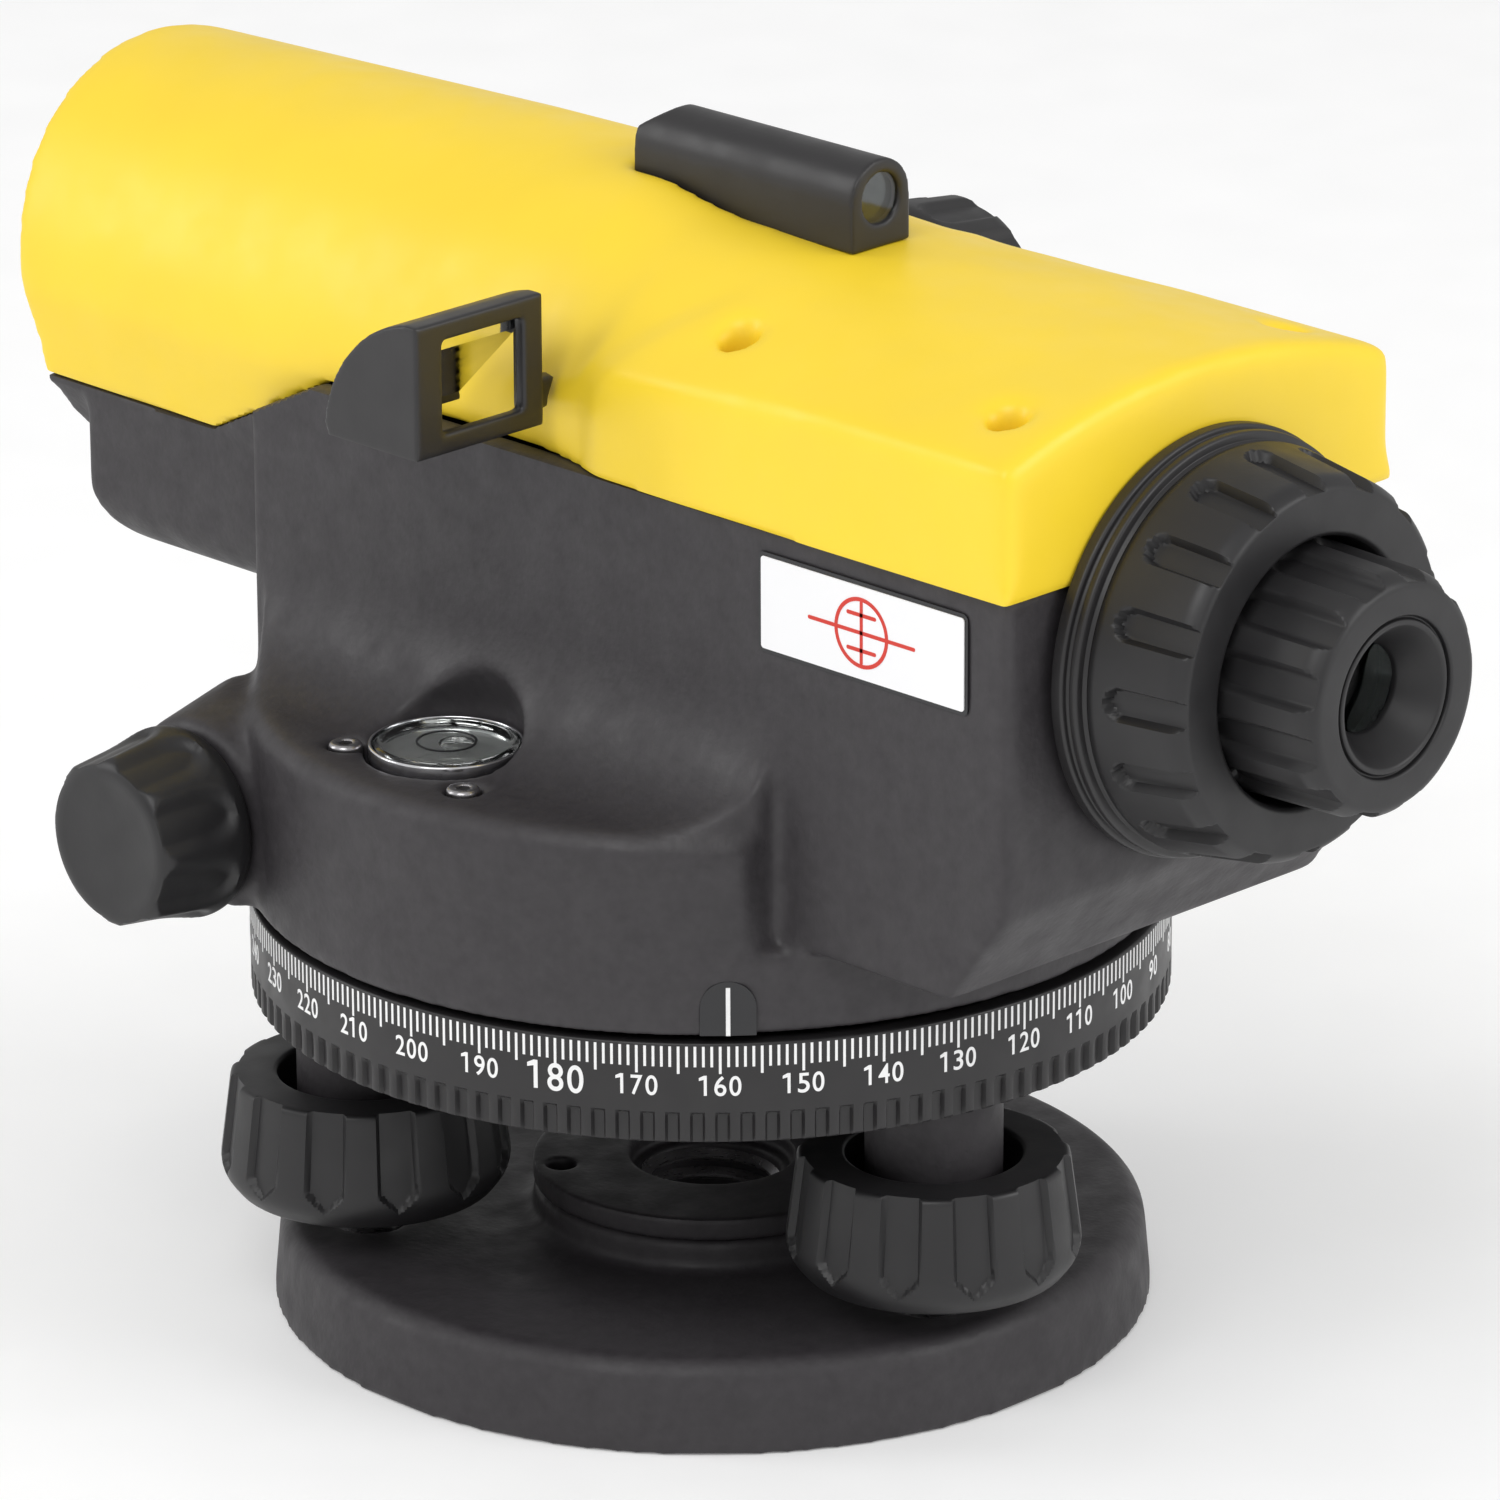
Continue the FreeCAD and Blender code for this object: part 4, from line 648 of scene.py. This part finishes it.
def type_label():
    """A white film label in a dark frame, with a plain red reticle mark."""
    low, high = (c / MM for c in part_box("type_plate"))
    centre = (low + high) / 2
    half_y, half_z = (high.y - low.y) / 2, (high.z - low.z) / 2
    mesh = slab("label_frame", centre, half_y, half_z, 0.7, low.x + 0.12, high.x)
    piece("label_frame", mesh, "alidade", "label_print", "type_plate", finish="index_print")
    mesh = slab("label_film", centre, half_y - 0.45, half_z - 0.45, 0.4, low.x, high.x - 0.1)
    piece("label_film", mesh, "alidade", "label_print")
    bars = [slab("bar", centre + Vector((0, y, z)), a, b, min(a, b) * 0.9, low.x - 0.04, low.x + 0.05)
            for y, z, a, b in ((0, 0, 8.0, 0.22), (0, 0, 0.22, 3.6), (0, 2.0, 2.2, 0.22),
                               (0, -2.0, 2.2, 0.22))]
    ring = turned("ring", outline([(3.55, -0.05), (4.0, -0.05), (4.0, 0.04), (3.55, 0.04)], 1.0),
                  64, axis="x", at=(low.x, centre.y, centre.z))
    piece("label_mark", joined("label_mark", [*bars, ring]), "alidade", "label_print",
          finish="red_print")


def vial():
    """Circular bubble: bright cup, clear body, marked ring and trapped air."""
    low, high = (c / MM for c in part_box("vial_cup"))
    x, y, _ = middle("vial_cup")
    top = high.z
    cup = outline([(0, low.z), (8.75, low.z), (8.75, top - 0.15, 0.2), (8.35, top - 0.1, 0.2),
                   (8.3, low.z + 3.4, 0.4), (0, low.z + 3.2)], 0.6)
    piece("vial_rim", turned("vial_rim", cup, 128, at=(x, y, 0)), "alidade", "chrome", "vial_cup")
    floor = outline([(0, low.z + 3.3), (8.1, low.z + 3.3), (8.1, low.z + 3.6, 0.2),
                     (0, low.z + 3.8)], 0.6)
    piece("vial_floor", turned("vial_floor", floor, 96, at=(x, y, 0)), "alidade", "steel",
          finish="vial_grey")
    body = outline([(0, low.z + 3.9), (8.0, low.z + 4.0, 0.4), (8.2, top - 0.5, 0.3),
                    (7.5, top - 0.05, 0.4), (6.2, top - 0.2, 0.5), (0, top - 0.12)], 0.6)
    piece("vial_window", turned("vial_window", body, 128, at=(x, y, 0)), "alidade",
          "vial_glass", "vial_glass")
    ring = outline([(3.2, top - 0.2), (3.45, top - 0.2), (3.45, top - 0.05), (3.2, top - 0.05)], 0.3)
    piece("vial_ring", turned("vial_ring", ring, 96, at=(x, y, 0)), "alidade", "chrome",
          finish="index_print")
    bubble = outline([(0, top - 1.9), (1.6, top - 1.85, 0.8), (2.3, top - 1.3, 0.6),
                      (1.7, top - 0.75, 0.8), (0, top - 0.62)], 0.3)
    piece("vial_air", turned("vial_air", bubble, 64, at=(x + 1.2, y - 0.5, 0)), "alidade",
          "vial_glass", "vial_bubble", finish="trapped_air")


def screw_head(name, x, y, top, radius, socket, body, *stands_for):
    """A small round screw head with a hexagon socket."""
    section = outline([(0, top - 1.2), (socket, top - 1.1), (socket, top - 0.1, 0.1),
                       (socket + 0.3, top, 0.1), (radius - 0.3, top, 0.2),
                       (radius, top - 0.3, 0.2), (radius, top - 2.2), (0, top - 2.2)], 0.4)
    def cut(r, h, angle):
        side = socket / np.cos((angle % (TAU / 6)) - TAU / 12)
        inner = (r <= socket + 0.01) & (h > top - 1.25)
        return np.where(inner, r * side / socket * 0.9, r), h
    mesh = turned(name, section, 96, cut, at=(x, y, 0))
    return piece(name, mesh, body, "steel", *stands_for)


def screws():
    low, high = (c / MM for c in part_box("vial_screws"))
    places = ((low.x + 2.95, high.y - 1.95), (low.x + 1.95, low.y + 1.95))
    for i, (x, y) in enumerate(places):
        screw_head(f"vial_screw_{i}", x, y, high.z + 0.02, 1.9, 0.85, "alidade", "vial_screws")
    low, high = (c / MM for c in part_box("cover_screws"))
    reach = 2.1
    for i, x in enumerate((low.x + reach, high.x - reach)):
        for j, y in enumerate((low.y + reach, high.y - reach)):
            screw_head(f"cover_screw_{i}{j}", x, y, high.z, 2.05, 1.0, "alidade", "cover_screws")


def tripod_thread():
    """The bush's thread turns, a ridge wound up its bore."""
    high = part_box("tripod_thread_bush")[1].z / MM
    pitch, turns, ways = 2.31, 5.6, 72
    steps = int(turns * ways)
    points, faces = [], []
    for i in range(steps + 1):
        angle = TAU * i / ways
        z = high - 2.4 - turns * pitch + pitch * i / ways
        for r, dz in ((8.2, -0.95), (7.1, -0.15), (7.1, 0.15), (8.2, 0.95)):
            points.append((r * math.cos(angle), r * math.sin(angle), z + dz))
    for i in range(steps):
        a, b = 4 * i, 4 * i + 4
        faces += [(a + k, a + (k + 1) % 4, b + (k + 1) % 4, b + k) for k in range(4)]
    faces += [(0, 1, 2, 3), tuple(4 * steps + k for k in range(4))]
    piece("thread_turns", mesh_of("thread_turns", points, faces), "base", "base_casting",
          finish="steel")


# ---------------------------------------------------------------- scene

def dress_cad_nodes():
    """Every CAD node that stays visible gets its slot's finish."""
    for part in frame["record"]["subparts"]:
        mesh = NODES[part["node"]].data
        mesh.materials.clear()
        mesh.materials.append(FINISH[part["material_slot"]])


def camera():
    """A long lens from behind and to the left, a little above."""
    heading, pitch, roll = (math.radians(a) for a in (45.0, 19.738, -0.2213))
    forward = Vector((math.sin(heading) * math.cos(pitch),
                      math.cos(heading) * math.cos(pitch), -math.sin(pitch)))
    right = Vector((math.cos(heading), -math.sin(heading), 0))
    up = right.cross(forward)
    across = math.cos(roll) * right + math.sin(roll) * up
    above = -math.sin(roll) * right + math.cos(roll) * up
    data = bpy.data.cameras.new("view")
    data.lens = 232.86
    data.sensor_width = 36
    data.clip_end = 20
    eye = bpy.data.objects.new("view", data)
    eye.matrix_world = Matrix((across, above, -forward)).transposed().to_4x4()
    eye.matrix_world.translation = (-0.7314, -0.7378, 0.4380)
    bpy.context.scene.collection.objects.link(eye)
    bpy.context.scene.camera = eye


def area_light(name, place, size, watts, target=(0, 0, 0.08)):
    data = bpy.data.lights.new(name, "AREA")
    data.shape = "RECTANGLE"
    data.size, data.size_y = size
    data.energy = watts
    lamp = bpy.data.objects.new(name, data)
    lamp.location = place
    lamp.rotation_euler = (Vector(target) - Vector(place)).to_track_quat("-Z", "Y").to_euler()
    bpy.context.scene.collection.objects.link(lamp)


def studio():
    mesh = bpy.data.meshes.new("floor")
    mesh.from_pydata([(-4, -4, 0), (4, -4, 0), (4, 4, 0), (-4, 4, 0)], [], [(0, 1, 2, 3)])
    mesh.materials.append(moulded("floor", (0.9, 0.9, 0.9), 0.6, 0.002, 0.00001, 0.01,
                                  Emission_Color=(1, 1, 1, 1), Emission_Strength=0.14))
    floor = bpy.data.objects.new("floor", mesh)
    bpy.context.scene.collection.objects.link(floor)
    world = bpy.data.worlds.new("studio")
    world.use_nodes = True
    sky = world.node_tree.nodes["Background"]
    sky.inputs["Color"].default_value = (1, 1, 1, 1)
    sky.inputs["Strength"].default_value = 0.62
    bpy.context.scene.world = world
    area_light("key", (-1.1, -0.5, 1.3), (0.9, 0.9), 10)
    area_light("rear", (0.6, -1.3, 0.8), (0.8, 0.8), 8)
    area_light("edge", (-0.9, 1.1, 0.7), (0.5, 0.9), 5)
    bpy.context.scene.view_settings.view_transform = "Standard"


dress_cad_nodes()
cover()
castings()
foot_grips()
drive_grips()
focus_grip()
eyepiece_end()
dial()
index_mark()
type_label()
vial()
screws()
tripod_thread()
camera()
studio()
